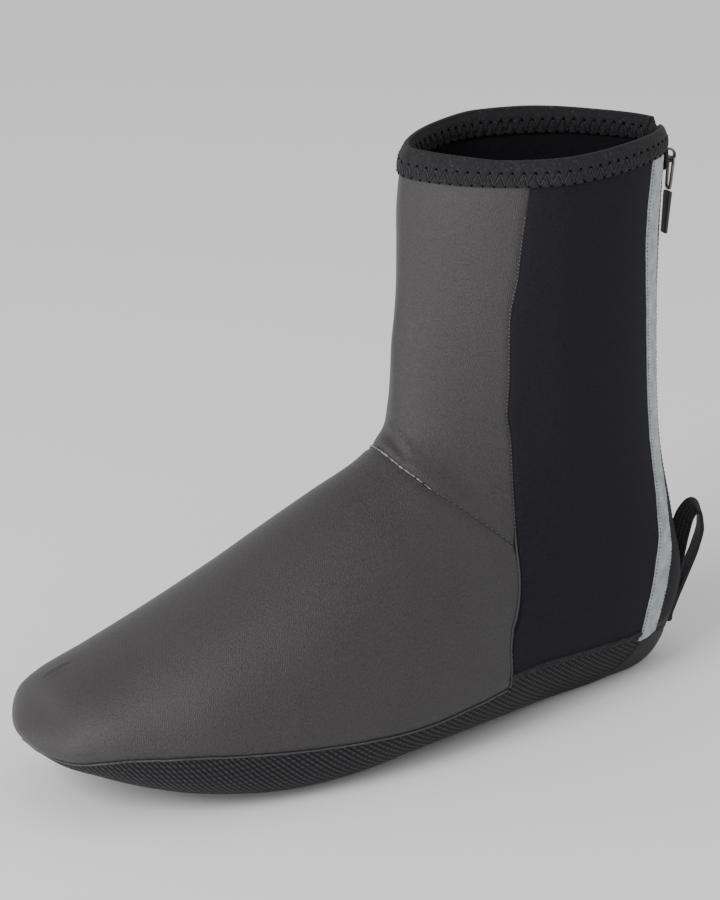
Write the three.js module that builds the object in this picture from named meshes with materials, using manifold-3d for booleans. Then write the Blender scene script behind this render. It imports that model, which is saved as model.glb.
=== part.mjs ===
// Cycling overshoe for the left foot: a hollow upper on a thin ribbed sole, a bound collar,
// a zip up the back between two reflective strips, and a webbing loop at the heel.
// Millimetres. X runs to the toe, Y to the wearer's left, Z up. The floor is Z = 0 and the
// origin lies on it, under the flat spot of the heel.
import * as THREE from 'three';
import { mergeVertices } from 'three/addons/utils/BufferGeometryUtils.js';
import Module from 'manifold-3d';

const wasm = await Module();
wasm.setup();

// Main sizes of the form
const LENGTH = 280;
const BALL_WIDTH = 99;
const INSTEP_HEIGHT = 108;
const TOE_LIFT = 28.5;
const SHAFT_DEPTH = 117;
const SHAFT_WIDTH = 78;
const COLLAR_HEIGHT = 222;
const SHAFT_TURN = 14;
const HEEL_SEAT = 37;
const RAND_HEIGHT = 19.5;

// Walls and the room left between pieces
const WALL = 3;
const SOLE_WALL = 2.4;
const GAP = 0.3;

// Openings under the foot, for the pedal cleat and for the heel of the shoe inside
const CLEAT_OPENING_LENGTH = 46;
const CLEAT_OPENING_WIDTH = 44;
const HEEL_OPENING_LENGTH = 34;
const HEEL_OPENING_WIDTH = 26;
const OPENING_CORNER = 12;

// Collar binding, a band folded over the edge
const BINDING_HEIGHT = 10.5;
const BINDING_THICKNESS = 1;

// Zip up the centre of the back
const SLOT_WIDTH = 15;
const SLOT_BOTTOM = 21;
const ZIP_TOP_MARGIN = 1.5;
const CHAIN_WIDTH = 5.2;
const CHAIN_THICKNESS = 2.2;
const TAPE_THICKNESS = 1;
const TAPE_DEPTH = 0.8;

// Slider with its crown, and the pull that hangs from it
const SLIDER_TOP_DROP = 12;
const SLIDER_LENGTH = 9.5;
const SLIDER_WIDTH = 8.4;
const SLIDER_PLATE = 1.6;
const SLIDER_LIP = 0.8;
const CROWN_LENGTH = 6.4;
const CROWN_WIDTH = 2.2;
const CROWN_HEIGHT = 5.6;
const CROWN_BAR = 1.1;
const PULL_WIRE = 1.5;
const PULL_LENGTH = 12;
const PULL_TOP_WIDTH = 6.4;
const PULL_BOTTOM_WIDTH = 4.2;
const PULL_LEAN = 7;
const GRIP_LENGTH = 17;
const GRIP_WIDTH = 5.4;
const GRIP_THICKNESS = 2.4;

// Strips, heel tape and loop
const STRIP_WIDTH = 13;
const STRIP_THICKNESS = 0.8;
const HEEL_TAPE_TOP = 12;
const HEEL_TAPE_BOTTOM = 2;
const HEEL_TAPE_REACH = 30;
const HEEL_TAPE_THICKNESS = 0.8;
const LOOP_WIDTH = 8;
const LOOP_THICKNESS = 1.6;
const LOOP_HEIGHT = 46;
const LOOP_REACH = 16;
const LOOP_FOOT = 13;

// Fineness of the faceted form
const RINGS = 34;
const SIDES = 36;
const RIBBON_START = 1.2;
const RIBBON_STRANDS = 3;
const RIBBON_STEPS = 18;
const WIRE_SIDES = 8;
const RING_CROWDING = 1.15;
const NORMAL_STEP = 0.01;
const OVERSHOOT = 8;

const FABRIC_BLACK = new THREE.MeshStandardMaterial({ color: 0x1c1b20, roughness: 0.9, metalness: 0 });
const COATED_GREY = new THREE.MeshStandardMaterial({ color: 0x4b4a4b, roughness: 0.62, metalness: 0 });
const RIBBED_BLACK = new THREE.MeshStandardMaterial({ color: 0x222226, roughness: 0.85, metalness: 0 });
const REFLECTIVE = new THREE.MeshStandardMaterial({ color: 0xa2a6aa, roughness: 0.4, metalness: 0.2 });
const METAL = new THREE.MeshStandardMaterial({ color: 0x8c8c88, roughness: 0.35, metalness: 1 });
const MOULDED = new THREE.MeshStandardMaterial({ color: 0x3c3a3e, roughness: 0.6, metalness: 0 });

// Cross-sections of the foot, from the toe tip to the instep. Each one spans from a point on
// the sole to a point on the crest. Lengths run along the foot as shares of LENGTH, crest
// positions as shares of the way from the shaft to the toe, heights as shares of TOE_LIFT and
// of the rise from there to the instep, and widths and sideways shifts as shares of BALL_WIDTH.
const FOOT_COLUMNS = ['soleX', 'soleZ', 'soleY', 'crestX', 'crestZ', 'crestY',
  'half', 'lowRound', 'highRound', 'widest'];
const FOOT_SECTIONS = [
  [1.000, 1.00, -0.09, 1.00, 0.00, -0.09, 0.000, 2.2, 2.20, 0.45],
  [0.975, 0.68, -0.08, 0.95, 0.13, -0.08, 0.255, 2.3, 2.20, 0.45],
  [0.927, 0.46, -0.05, 0.90, 0.23, -0.05, 0.340, 2.5, 2.20, 0.44],
  [0.870, 0.26, -0.01, 0.78, 0.345, -0.01, 0.400, 2.8, 2.15, 0.41],
  [0.798, 0.08, 0.020, 0.635, 0.48, 0.020, 0.455, 3.0, 2.10, 0.38],
  [0.702, -0.06, 0.035, 0.475, 0.64, 0.030, 0.490, 3.2, 2.00, 0.35],
  [0.595, -0.06, 0.040, 0.345, 0.78, 0.030, 0.500, 3.3, 1.95, 0.32],
  [0.479, 0.03, 0.040, 0.225, 0.90, 0.020, 0.485, 3.2, 1.90, 0.31],
  [0.354, 0.04, 0.030, 0.110, 1.00, 0.000, 0.445, 3.0, 1.90, 0.33],
];

// Cross-sections of the heel and shaft, up to the collar, from a point on the back to one on
// the front. Back and front positions are shares of SHAFT_DEPTH, back heights of
// COLLAR_HEIGHT, front heights of the rise from the instep to the collar, sideways turns of
// SHAFT_TURN towards the wearer's right, and half widths of SHAFT_WIDTH.
const SHAFT_COLUMNS = ['backX', 'backZ', 'frontX', 'frontZ', 'frontTurn',
  'half', 'lowRound', 'highRound', 'widest'];
const SHAFT_SECTIONS = [
  [0.590, -0.010, 1.055, 0.08, 0.21, 0.506, 2.60, 1.85, 0.41],
  [0.342, -0.014, 1.028, 0.16, 0.43, 0.474, 2.25, 1.75, 0.48],
  [0.128, 0.009, 1.012, 0.25, 0.57, 0.455, 2.00, 1.70, 0.54],
  [0.000, 0.131, 1.000, 0.35, 0.68, 0.449, 1.80, 1.65, 0.56],
  [0.024, 0.261, 0.983, 0.44, 0.75, 0.455, 1.70, 1.60, 0.56],
  [0.073, 0.423, 0.964, 0.54, 0.82, 0.474, 1.70, 1.60, 0.56],
  [0.080, 0.613, 0.950, 0.675, 0.89, 0.494, 1.70, 1.60, 0.56],
  [0.064, 0.802, 0.938, 0.82, 0.95, 0.500, 1.70, 1.60, 0.56],
  [0.030, 1.000, 0.906, 1.00, 1.00, 0.500, 1.70, 1.60, 0.56],
];

// Upper edge of the sole seen from the side: along the foot as shares of LENGTH, heights as
// shares of RAND_HEIGHT. It steps down where the grey front panel begins.
const REAR_EDGE = [[-0.1, 1.0], [0.11, 1.0], [0.19, 1.08], [0.27, 1.2], [0.353, 1.31]];
const FRONT_EDGE = [[0.358, 1.08], [0.43, 0.98], [0.5, 0.91], [0.59, 0.98], [0.67, 1.09],
  [0.75, 1.21], [0.82, 1.31], [0.9, 1.34], [0.97, 1.2], [1.1, 1.1]];

// Outer edge of a reflective strip: section counted from the toe tip, and distance round it from
// the centre of the back as a share of STRIP_WIDTH. It swings outwards round the heel.
const STRIP_LINE = [[10.2, 2.3], [10.8, 2.5], [11.3, 2.95], [11.9, 3.12], [12.5, 2.78], [13.1, 2.38],
  [14.2, 2.04], [15.2, 2.08], [16.1, 2.24], [17, 2.05]];

function named(columns, row) {
  return Object.fromEntries(columns.map((column, index) => [column, row[index]]));
}

// A section in millimetres: [back or sole x, z, y, front or crest x, z, y, half width,
// roundness of the lower and the upper part, share of the way at which it is widest]
function footSection(row) {
  const share = named(FOOT_COLUMNS, row);
  return [
    share.soleX * LENGTH - HEEL_SEAT, share.soleZ * TOE_LIFT, share.soleY * BALL_WIDTH,
    SHAFT_DEPTH + share.crestX * (LENGTH - SHAFT_DEPTH) - HEEL_SEAT,
    TOE_LIFT + share.crestZ * (INSTEP_HEIGHT - TOE_LIFT), share.crestY * BALL_WIDTH,
    share.half * BALL_WIDTH, share.lowRound, share.highRound, share.widest,
  ];
}

function shaftSection(row) {
  const share = named(SHAFT_COLUMNS, row);
  return [
    share.backX * SHAFT_DEPTH - HEEL_SEAT, share.backZ * COLLAR_HEIGHT, 0,
    share.frontX * SHAFT_DEPTH - HEEL_SEAT,
    INSTEP_HEIGHT + share.frontZ * (COLLAR_HEIGHT - INSTEP_HEIGHT), -share.frontTurn * SHAFT_TURN,
    share.half * SHAFT_WIDTH, share.lowRound, share.highRound, share.widest,
  ];
}

const SECTIONS = [...FOOT_SECTIONS.map(footSection), ...SHAFT_SECTIONS.map(shaftSection)];
const COLLAR = SECTIONS.length - 1;

// Sections one step past either end, so that the form closes smoothly over the toe tip and
// runs straight on at the collar
function pastTheToe() {
  const [sx, sz, sy, cx, cz, cy, half, low, high, widest] = SECTIONS[1];
  return [cx, cz, cy, sx, sz, sy, -half, low, high, widest];
}

function pastTheCollar() {
  return SECTIONS[COLLAR].map((value, index) => 2 * value - SECTIONS[COLLAR - 1][index]);
}

const ALL_SECTIONS = [pastTheToe(), ...SECTIONS, pastTheCollar()];

// Catmull-Rom blend of the sections at a position counted from the toe tip
function sectionAt(place) {
  const first = Math.min(Math.max(Math.floor(place), 0), COLLAR - 1);
  const t = place - first;
  const [p0, p1, p2, p3] = ALL_SECTIONS.slice(first, first + 4);
  return p1.map((value, index) => {
    const bend = 2 * p0[index] - 5 * value + 4 * p2[index] - p3[index];
    const twist = -p0[index] + 3 * value - 3 * p2[index] + p3[index];
    return 0.5 * (2 * value + (p2[index] - p0[index]) * t + bend * t * t + twist * t * t * t);
  });
}

// Point of the outer surface. The angle starts at the sole or back, and turns by way of the
// wearer's left side to the crest or front.
function surfacePoint(place, angle) {
  const [backX, backZ, backY, frontX, frontZ, frontY, half, low, high, widest] = sectionAt(place);
  const across = Math.abs(Math.sin(angle));
  const along = Math.abs(Math.cos(angle));
  const lower = Math.cos(angle) > 0;
  const power = 2 / (lower ? low : high);
  const way = lower ? widest * (1 - along ** power) : widest + (1 - widest) * along ** power;
  const side = Math.sign(Math.sin(angle)) * half * across ** power;
  return new THREE.Vector3(
    backX + (frontX - backX) * way,
    backY + (frontY - backY) * way + side,
    Math.max(backZ + (frontZ - backZ) * way, 0),
  );
}

function surfaceNormal(place, angle) {
  const alongForm = surfacePoint(Math.min(place + NORMAL_STEP, COLLAR), angle)
    .sub(surfacePoint(Math.max(place - NORMAL_STEP, 0), angle));
  const roundForm = surfacePoint(place, angle + NORMAL_STEP).sub(surfacePoint(place, angle - NORMAL_STEP));
  return alongForm.cross(roundForm).normalize();
}

function offsetPoint(place, angle, offset) {
  return surfacePoint(place, angle).addScaledVector(surfaceNormal(place, angle), offset);
}

function geometryOf(points, triangles) {
  const geometry = new THREE.BufferGeometry();
  geometry.setAttribute('position', new THREE.Float32BufferAttribute(points.flatMap((p) => p.toArray()), 3));
  geometry.setIndex(triangles.flat());
  return geometry;
}

function solidOf(geometry) {
  const bare = geometry.clone();
  bare.deleteAttribute('normal');
  bare.deleteAttribute('uv');
  const merged = mergeVertices(bare, 1e-4);
  return new wasm.Manifold(new wasm.Mesh({
    numProp: 3,
    vertProperties: new Float32Array(merged.attributes.position.array),
    triVerts: new Uint32Array(merged.index.array),
  }));
}

// The whole form as one filled solid, swollen or shrunk by an offset and carried on straight
// above the collar by a rise
function filledForm(offset, rise) {
  const rings = [];
  for (let ring = 1; ring <= RINGS; ring += 1) {
    const place = COLLAR * (ring / RINGS) ** RING_CROWDING;
    rings.push(ringOf(place, offset));
  }
  if (rise > 0) rings.push(rings.at(-1).map((point) => point.clone().setZ(COLLAR_HEIGHT + rise)));
  const tip = surfacePoint(0, 0).add(new THREE.Vector3(offset, 0, 0));
  const top = rings.at(-1).reduce((sum, point) => sum.add(point), new THREE.Vector3()).divideScalar(SIDES);
  const points = [tip, ...rings.flat(), top];
  const triangles = [];
  for (let side = 0; side < SIDES; side += 1) {
    const next = (side + 1) % SIDES;
    triangles.push([0, 1 + side, 1 + next]);
    for (let ring = 0; ring < rings.length - 1; ring += 1) {
      const here = 1 + ring * SIDES;
      const after = here + SIDES;
      triangles.push([here + side, after + side, after + next], [here + side, after + next, here + next]);
    }
    const last = 1 + (rings.length - 1) * SIDES;
    triangles.push([last + side, points.length - 1, last + next]);
  }
  return solidOf(geometryOf(points, triangles));
}

function ringOf(place, offset) {
  const ring = [];
  for (let side = 0; side < SIDES; side += 1) {
    const point = offsetPoint(place, (side / SIDES) * 2 * Math.PI, offset);
    if (place === COLLAR) point.setZ(COLLAR_HEIGHT);
    ring.push(point);
  }
  return ring;
}

// Prisms that cut the form: a box between two corners, a side view pulled across the foot,
// and a rounded window pushed up through the sole
function box(low, high) {
  const size = high.map((value, index) => value - low[index]);
  const middle = high.map((value, index) => (value + low[index]) / 2);
  return solidOf(new THREE.BoxGeometry(...size).translate(...middle));
}

function sidePrism(shape, width) {
  const geometry = new THREE.ExtrudeGeometry(shape, { depth: width, bevelEnabled: false, curveSegments: 6 });
  return solidOf(geometry.translate(0, 0, -width / 2).rotateX(Math.PI / 2));
}

function roundedRectangle(length, width, corner) {
  const x = length / 2;
  const y = width / 2;
  const shape = new THREE.Shape();
  shape.moveTo(x - corner, -y).absarc(x - corner, -y + corner, corner, -Math.PI / 2, 0);
  shape.absarc(x - corner, y - corner, corner, 0, Math.PI / 2);
  shape.absarc(-x + corner, y - corner, corner, Math.PI / 2, Math.PI);
  shape.absarc(-x + corner, -y + corner, corner, Math.PI, 1.5 * Math.PI);
  return shape;
}

function window(length, width, x, y) {
  const outline = roundedRectangle(length, width, OPENING_CORNER);
  const depth = SOLE_WALL + 2 * GAP + OVERSHOOT;
  const geometry = new THREE.ExtrudeGeometry(outline, { depth, bevelEnabled: false, curveSegments: 5 });
  return solidOf(geometry.translate(x, y, -OVERSHOOT));
}

// Everything below the upper edge of the sole, moved up or down by a shift
function belowSoleEdge(shift) {
  const toPoint = ([x, z]) => new THREE.Vector2(x * LENGTH - HEEL_SEAT, z * RAND_HEIGHT + shift);
  const rear = REAR_EDGE.map(toPoint);
  const front = FRONT_EDGE.map(toPoint);
  const shape = new THREE.Shape();
  shape.moveTo(rear[0].x, -OVERSHOOT);
  shape.lineTo(front.at(-1).x, -OVERSHOOT);
  shape.lineTo(front.at(-1).x, front.at(-1).y);
  shape.splineThru(front.slice(0, -1).reverse());
  shape.lineTo(rear.at(-1).x, rear.at(-1).y);
  shape.splineThru(rear.slice(0, -1).reverse());
  return sidePrism(shape, 2 * BALL_WIDTH);
}

// Angle at which a section has run a given distance along the surface from its back point,
// measured towards the wearer's left when positive
function angleAtArc(place, arc) {
  const step = Math.sign(arc) * 0.02;
  let angle = 0;
  let run = 0;
  let point = surfacePoint(place, angle);
  while (run < Math.abs(arc)) {
    const next = surfacePoint(place, angle + step);
    const stride = next.distanceTo(point);
    if (run + stride > Math.abs(arc)) return angle + step * ((Math.abs(arc) - run) / stride);
    run += stride;
    angle += step;
    point = next;
  }
  return angle;
}

// A band up the back, between two distances from the centre line and two depths, with square
// ends where it is cut off at a lowest and a highest height. The distances are given for a section.
function ribbon({ edges, inside, outside, lowest, highest }) {
  const start = FOOT_SECTIONS.length + RIBBON_START;
  const strands = RIBBON_STRANDS;
  const steps = RIBBON_STEPS;
  const points = [];
  for (let step = 0; step <= steps; step += 1) {
    const place = start + (COLLAR - start) * (step / steps);
    const [from, to] = edges(place).toSorted((a, b) => a - b);
    for (const offset of [inside, outside]) {
      for (let strand = 0; strand <= strands; strand += 1) {
        const angle = angleAtArc(place, from + (to - from) * (strand / strands));
        points.push(offsetPoint(place, angle, offset));
      }
    }
  }
  const round = 2 * (strands + 1);
  const loop = [];
  for (let strand = 0; strand <= strands; strand += 1) loop.push(strand);
  for (let strand = strands; strand >= 0; strand -= 1) loop.push(strands + 1 + strand);
  const triangles = [];
  for (let step = 0; step < steps; step += 1) {
    for (let index = 0; index < round; index += 1) {
      const a = step * round + loop[index];
      const b = step * round + loop[(index + 1) % round];
      triangles.push([a, b, b + round], [a, b + round, a + round]);
    }
  }
  for (let strand = 0; strand < strands; strand += 1) {
    const a = strand;
    const b = strand + 1;
    const c = strands + 1 + strand;
    const d = c + 1;
    const top = steps * round;
    triangles.push([a, c, d], [a, d, b], [top + a, top + d, top + c], [top + a, top + b, top + d]);
  }
  const band = solidOf(geometryOf(points, triangles));
  return band.intersect(box([-LENGTH, -LENGTH, lowest], [LENGTH, LENGTH, highest]));
}

function upper() {
  const shell = filledForm(0, 0).subtract(filledForm(-WALL, OVERSHOOT));
  const slot = box(
    [-HEEL_SEAT - LOOP_REACH, -SLOT_WIDTH / 2, SLOT_BOTTOM],
    [SHAFT_DEPTH / 2 - HEEL_SEAT, SLOT_WIDTH / 2, COLLAR_HEIGHT + OVERSHOOT],
  );
  return shell.subtract(belowSoleEdge(GAP / 2)).subtract(slot);
}

function sole() {
  const shell = filledForm(0, 0).subtract(filledForm(-SOLE_WALL, OVERSHOOT));
  const ball = sectionAt(FOOT_SECTIONS.length - 3);
  const heel = sectionAt(FOOT_SECTIONS.length);
  const cleat = window(CLEAT_OPENING_LENGTH, CLEAT_OPENING_WIDTH, ball[0] + 0.1 * CLEAT_OPENING_LENGTH, ball[2]);
  const seat = window(HEEL_OPENING_LENGTH, HEEL_OPENING_WIDTH, heel[0] - HEEL_OPENING_LENGTH / 4, heel[2]);
  return shell.intersect(belowSoleEdge(-GAP / 2)).subtract(cleat).subtract(seat);
}

function collarBinding() {
  const reach = GAP + BINDING_THICKNESS;
  const folded = filledForm(reach, reach).subtract(filledForm(-WALL - reach, OVERSHOOT));
  const groove = filledForm(GAP, GAP).subtract(filledForm(-WALL - GAP, OVERSHOOT));
  const low = COLLAR_HEIGHT - BINDING_HEIGHT;
  const above = box([-LENGTH, -LENGTH, low], [LENGTH, LENGTH, COLLAR_HEIGHT + OVERSHOOT]);
  const half = CHAIN_WIDTH / 2 + 2 * GAP;
  const split = box([-LENGTH, -half, low - OVERSHOOT], [0, half, COLLAR_HEIGHT + OVERSHOOT]);
  return folded.intersect(above).subtract(groove).subtract(split);
}

function stripEdge(place) {
  const next = Math.max(STRIP_LINE.findIndex(([section]) => section >= place), 1);
  const [lowSection, lowShare] = STRIP_LINE[next - 1];
  const [highSection, highShare] = STRIP_LINE[next];
  const share = (place - lowSection) / (highSection - lowSection);
  return STRIP_WIDTH * THREE.MathUtils.lerp(lowShare, highShare, share);
}

function reflectiveStrip(side) {
  return ribbon({
    edges: (place) => [side * stripEdge(place), side * (stripEdge(place) - STRIP_WIDTH)],
    inside: GAP,
    outside: GAP + STRIP_THICKNESS,
    lowest: HEEL_TAPE_TOP + GAP,
    highest: COLLAR_HEIGHT - BINDING_HEIGHT - GAP,
  });
}

function zipTape(side) {
  return ribbon({
    edges: () => [side * (CHAIN_WIDTH / 2 + GAP), side * (SLOT_WIDTH / 2 - GAP)],
    inside: -TAPE_DEPTH - TAPE_THICKNESS,
    outside: -TAPE_DEPTH,
    lowest: SLOT_BOTTOM + GAP,
    highest: COLLAR_HEIGHT - ZIP_TOP_MARGIN,
  });
}

function zipChain() {
  return ribbon({
    edges: () => [-CHAIN_WIDTH / 2, CHAIN_WIDTH / 2],
    inside: -CHAIN_THICKNESS,
    outside: 0,
    lowest: SLOT_BOTTOM + GAP,
    highest: COLLAR_HEIGHT - ZIP_TOP_MARGIN,
  });
}

// Place and slope of the centre line of the back at a given height
function backAt(height) {
  let low = FOOT_SECTIONS.length + 1;
  let high = COLLAR;
  for (let pass = 0; pass < 40; pass += 1) {
    const middle = (low + high) / 2;
    if (surfacePoint(middle, 0).z < height) low = middle;
    else high = middle;
  }
  return surfacePoint(low, 0);
}

const SLIDER_HEIGHT = COLLAR_HEIGHT - SLIDER_TOP_DROP - SLIDER_LENGTH / 2;
const SLIDER_SEAT = Math.min(
  backAt(SLIDER_HEIGHT - SLIDER_LENGTH / 2).x, backAt(SLIDER_HEIGHT + SLIDER_LENGTH / 2).x,
) - GAP;
const EYE_DROP = CROWN_LENGTH / 2 - CROWN_BAR - PULL_WIRE / 2 - GAP;
const PIVOT = new THREE.Vector3(
  SLIDER_SEAT - SLIDER_PLATE - CROWN_HEIGHT + CROWN_BAR + GAP + PULL_WIRE / 2, 0, SLIDER_HEIGHT - EYE_DROP,
);

// Slider: a plate over the chain with a lip down each side and a crown that holds the pull
function zipSlider() {
  const outline = new THREE.Shape();
  const half = SLIDER_WIDTH / 2;
  const end = SLIDER_LENGTH / 2;
  outline.moveTo(half, -end / 2);
  outline.lineTo(half, end / 2);
  outline.quadraticCurveTo(half, end, 0, end);
  outline.quadraticCurveTo(-half, end, -half, end / 2);
  outline.lineTo(-half, -end / 2);
  outline.quadraticCurveTo(-half * 0.8, -end, 0, -end);
  outline.quadraticCurveTo(half * 0.8, -end, half, -end / 2);
  const plate = new THREE.ExtrudeGeometry(outline, { depth: SLIDER_PLATE, bevelEnabled: false, curveSegments: 6 });
  plate.rotateX(Math.PI / 2).rotateZ(Math.PI / 2);
  plate.translate(SLIDER_SEAT - SLIDER_PLATE, 0, SLIDER_HEIGHT);
  let slider = solidOf(plate);
  const lipTop = SLIDER_HEIGHT + end / 2;
  const lipBottom = SLIDER_HEIGHT - end / 2;
  for (const side of [-1, 1]) {
    const edges = [side * half, side * (half - SLIDER_LIP)].sort((a, b) => a - b);
    const lip = box(
      [SLIDER_SEAT - SLIDER_PLATE / 2, edges[0], lipBottom],
      [SLIDER_SEAT + TAPE_DEPTH, edges[1], lipTop],
    );
    slider = slider.add(lip);
  }
  const crown = roundedRectangle(CROWN_HEIGHT + SLIDER_PLATE, CROWN_LENGTH, CROWN_BAR);
  const eye = roundedRectangle(CROWN_HEIGHT - CROWN_BAR, CROWN_LENGTH - 2 * CROWN_BAR, CROWN_BAR);
  crown.holes.push(new THREE.Path(eye.getPoints(5).map((p) => p.add(new THREE.Vector2(
    (CROWN_BAR - SLIDER_PLATE) / 2, 0,
  )))));
  const arch = new THREE.ExtrudeGeometry(crown, { depth: CROWN_WIDTH, bevelEnabled: false, curveSegments: 5 });
  arch.translate(0, 0, -CROWN_WIDTH / 2).rotateX(Math.PI / 2);
  arch.translate(SLIDER_SEAT - (CROWN_HEIGHT + SLIDER_PLATE) / 2, 0, SLIDER_HEIGHT);
  return slider.add(solidOf(arch));
}

function wire(from, to) {
  const middle = from.clone().add(to).divideScalar(2);
  const length = from.distanceTo(to) + PULL_WIRE * 0.6;
  const rod = new THREE.CylinderGeometry(PULL_WIRE / 2, PULL_WIRE / 2, length, WIRE_SIDES);
  const turn = new THREE.Quaternion().setFromUnitVectors(
    new THREE.Vector3(0, 1, 0), to.clone().sub(from).normalize(),
  );
  return solidOf(rod.applyQuaternion(turn).translate(middle.x, middle.y, middle.z));
}

// Pull: a tapering wire frame through the crown, leaning a little towards the shaft
function alongPull(distance, side) {
  const lean = THREE.MathUtils.degToRad(PULL_LEAN);
  return new THREE.Vector3(
    PIVOT.x + distance * Math.sin(lean), side, PIVOT.z - distance * Math.cos(lean),
  );
}

function zipPull() {
  const corners = [
    alongPull(0, -PULL_TOP_WIDTH / 2), alongPull(0, PULL_TOP_WIDTH / 2),
    alongPull(PULL_LENGTH, PULL_BOTTOM_WIDTH / 2), alongPull(PULL_LENGTH, -PULL_BOTTOM_WIDTH / 2),
  ];
  const rods = corners.map((corner, index) => wire(corner, corners[(index + 1) % 4]));
  return rods.reduce((sum, rod) => sum.add(rod));
}

function pullGrip() {
  const outline = roundedRectangle(GRIP_LENGTH, GRIP_WIDTH, GRIP_WIDTH / 3);
  const depth = GRIP_THICKNESS;
  const geometry = new THREE.ExtrudeGeometry(outline, { depth, bevelEnabled: false, curveSegments: 5 });
  const lean = THREE.MathUtils.degToRad(PULL_LEAN);
  const centre = alongPull(PULL_LENGTH + PULL_WIRE / 2 + GAP + GRIP_LENGTH / 2, 0);
  geometry.translate(0, 0, -depth / 2).rotateY(Math.PI / 2 - lean);
  return solidOf(geometry.translate(centre.x, centre.y, centre.z));
}

// Heel tape: a smooth band round the bottom of the heel
function heelTape() {
  const skin = filledForm(GAP + HEEL_TAPE_THICKNESS, 0).subtract(filledForm(GAP, OVERSHOOT));
  return skin.intersect(box(
    [-HEEL_SEAT - LOOP_REACH, -BALL_WIDTH, HEEL_TAPE_BOTTOM],
    [HEEL_TAPE_REACH - HEEL_SEAT, BALL_WIDTH, HEEL_TAPE_TOP],
  ));
}

// Centre line of the loop from the side: out from the foot of the loop as shares of
// LOOP_REACH, and up from it as shares of LOOP_HEIGHT
const LOOP_LINE = [[0.06, 0.12], [0.24, 0.30], [0.36, 0.54], [0.48, 0.78], [0.58, 0.93], [0.78, 1.0],
  [0.96, 0.9], [0.98, 0.72], [0.8, 0.5], [0.42, 0.24], [0.1, 0.06]];

// Loop: webbing folded into a drop and sewn on at its foot
function heelLoop() {
  const foot = backAt(LOOP_FOOT);
  const toPoint = ([out, up]) => new THREE.Vector2(
    backAt(LOOP_FOOT + up * LOOP_HEIGHT * 0.2).x - LOOP_THICKNESS - out * LOOP_REACH,
    foot.z + up * LOOP_HEIGHT,
  );
  const line = new THREE.SplineCurve(LOOP_LINE.map(toPoint)).getPoints(30);
  const outer = [];
  const inner = [];
  line.forEach((point, index) => {
    const before = line[Math.max(index - 1, 0)];
    const after = line[Math.min(index + 1, line.length - 1)];
    const across = after.clone().sub(before).normalize().rotateAround(new THREE.Vector2(), Math.PI / 2);
    outer.push(point.clone().addScaledVector(across, LOOP_THICKNESS / 2));
    inner.push(point.clone().addScaledVector(across, -LOOP_THICKNESS / 2));
  });
  const drop = sidePrism(new THREE.Shape([...outer, ...inner.reverse()]), LOOP_WIDTH);
  const root = box(
    [foot.x - 2.2 * LOOP_THICKNESS, -LOOP_WIDTH / 2, foot.z],
    [foot.x + LOOP_THICKNESS, LOOP_WIDTH / 2, foot.z + 0.14 * LOOP_HEIGHT],
  );
  return drop.subtract(filledForm(4 * GAP, 0)).add(root.subtract(filledForm(GAP, 0)));
}

const overshoe = new THREE.Group();

function piece(name, solid, material) {
  const { vertProperties, triVerts } = solid.getMesh();
  const geometry = new THREE.BufferGeometry();
  geometry.setAttribute('position', new THREE.BufferAttribute(new Float32Array(vertProperties), 3));
  geometry.setIndex(new THREE.BufferAttribute(new Uint32Array(triVerts), 1));
  geometry.computeVertexNormals();
  const mesh = new THREE.Mesh(geometry, material);
  mesh.name = name;
  overshoe.add(mesh);
}

piece('upper', upper(), COATED_GREY);
piece('sole', sole(), RIBBED_BLACK);
piece('collar_binding', collarBinding(), FABRIC_BLACK);
piece('reflective_strip_left', reflectiveStrip(1), REFLECTIVE);
piece('reflective_strip_right', reflectiveStrip(-1), REFLECTIVE);
piece('zip_tape_left', zipTape(1), FABRIC_BLACK);
piece('zip_tape_right', zipTape(-1), FABRIC_BLACK);
piece('zip_chain', zipChain(), MOULDED);
piece('zip_slider', zipSlider(), METAL);
piece('zip_pull', zipPull(), METAL);
piece('pull_grip', pullGrip(), MOULDED);
piece('heel_tape', heelTape(), FABRIC_BLACK);
piece('heel_loop', heelLoop(), FABRIC_BLACK);

export default overshoe;
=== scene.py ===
"""Looks of the cycling overshoe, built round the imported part: panels, seams, binding, zip, loop and studio.

The form is worked out in millimetres, as the solids are, and each mesh is scaled to metres at the end.
"""

from math import cos, pi, radians, sin, tau

import bmesh
import bpy
import numpy as np
from mathutils import Matrix, Vector


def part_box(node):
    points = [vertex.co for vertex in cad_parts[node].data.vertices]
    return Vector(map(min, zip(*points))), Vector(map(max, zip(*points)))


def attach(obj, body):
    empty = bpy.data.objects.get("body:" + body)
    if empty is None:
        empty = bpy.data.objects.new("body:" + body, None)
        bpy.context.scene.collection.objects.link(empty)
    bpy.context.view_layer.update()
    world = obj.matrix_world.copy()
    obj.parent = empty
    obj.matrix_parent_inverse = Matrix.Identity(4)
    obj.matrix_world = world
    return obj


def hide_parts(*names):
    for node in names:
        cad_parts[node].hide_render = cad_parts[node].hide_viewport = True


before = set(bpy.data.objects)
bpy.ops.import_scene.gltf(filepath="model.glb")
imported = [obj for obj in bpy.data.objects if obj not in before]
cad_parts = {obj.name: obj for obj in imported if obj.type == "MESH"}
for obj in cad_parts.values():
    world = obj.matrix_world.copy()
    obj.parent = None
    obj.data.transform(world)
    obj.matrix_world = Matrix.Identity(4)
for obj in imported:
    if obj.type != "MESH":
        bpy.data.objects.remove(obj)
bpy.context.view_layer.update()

MM = 0.001
BODY = "overshoe"
PULL_BODY = "pull"

# Main sizes of the form, the same as in the solids
LENGTH = 280
BALL_WIDTH = 99
INSTEP_HEIGHT = 108
TOE_LIFT = 28.5
SHAFT_DEPTH = 117
SHAFT_WIDTH = 78
COLLAR_HEIGHT = 222
SHAFT_TURN = 14
HEEL_SEAT = 37
RAND_HEIGHT = 19.5
WALL = 3
SOLE_WALL = 2.4

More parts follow.
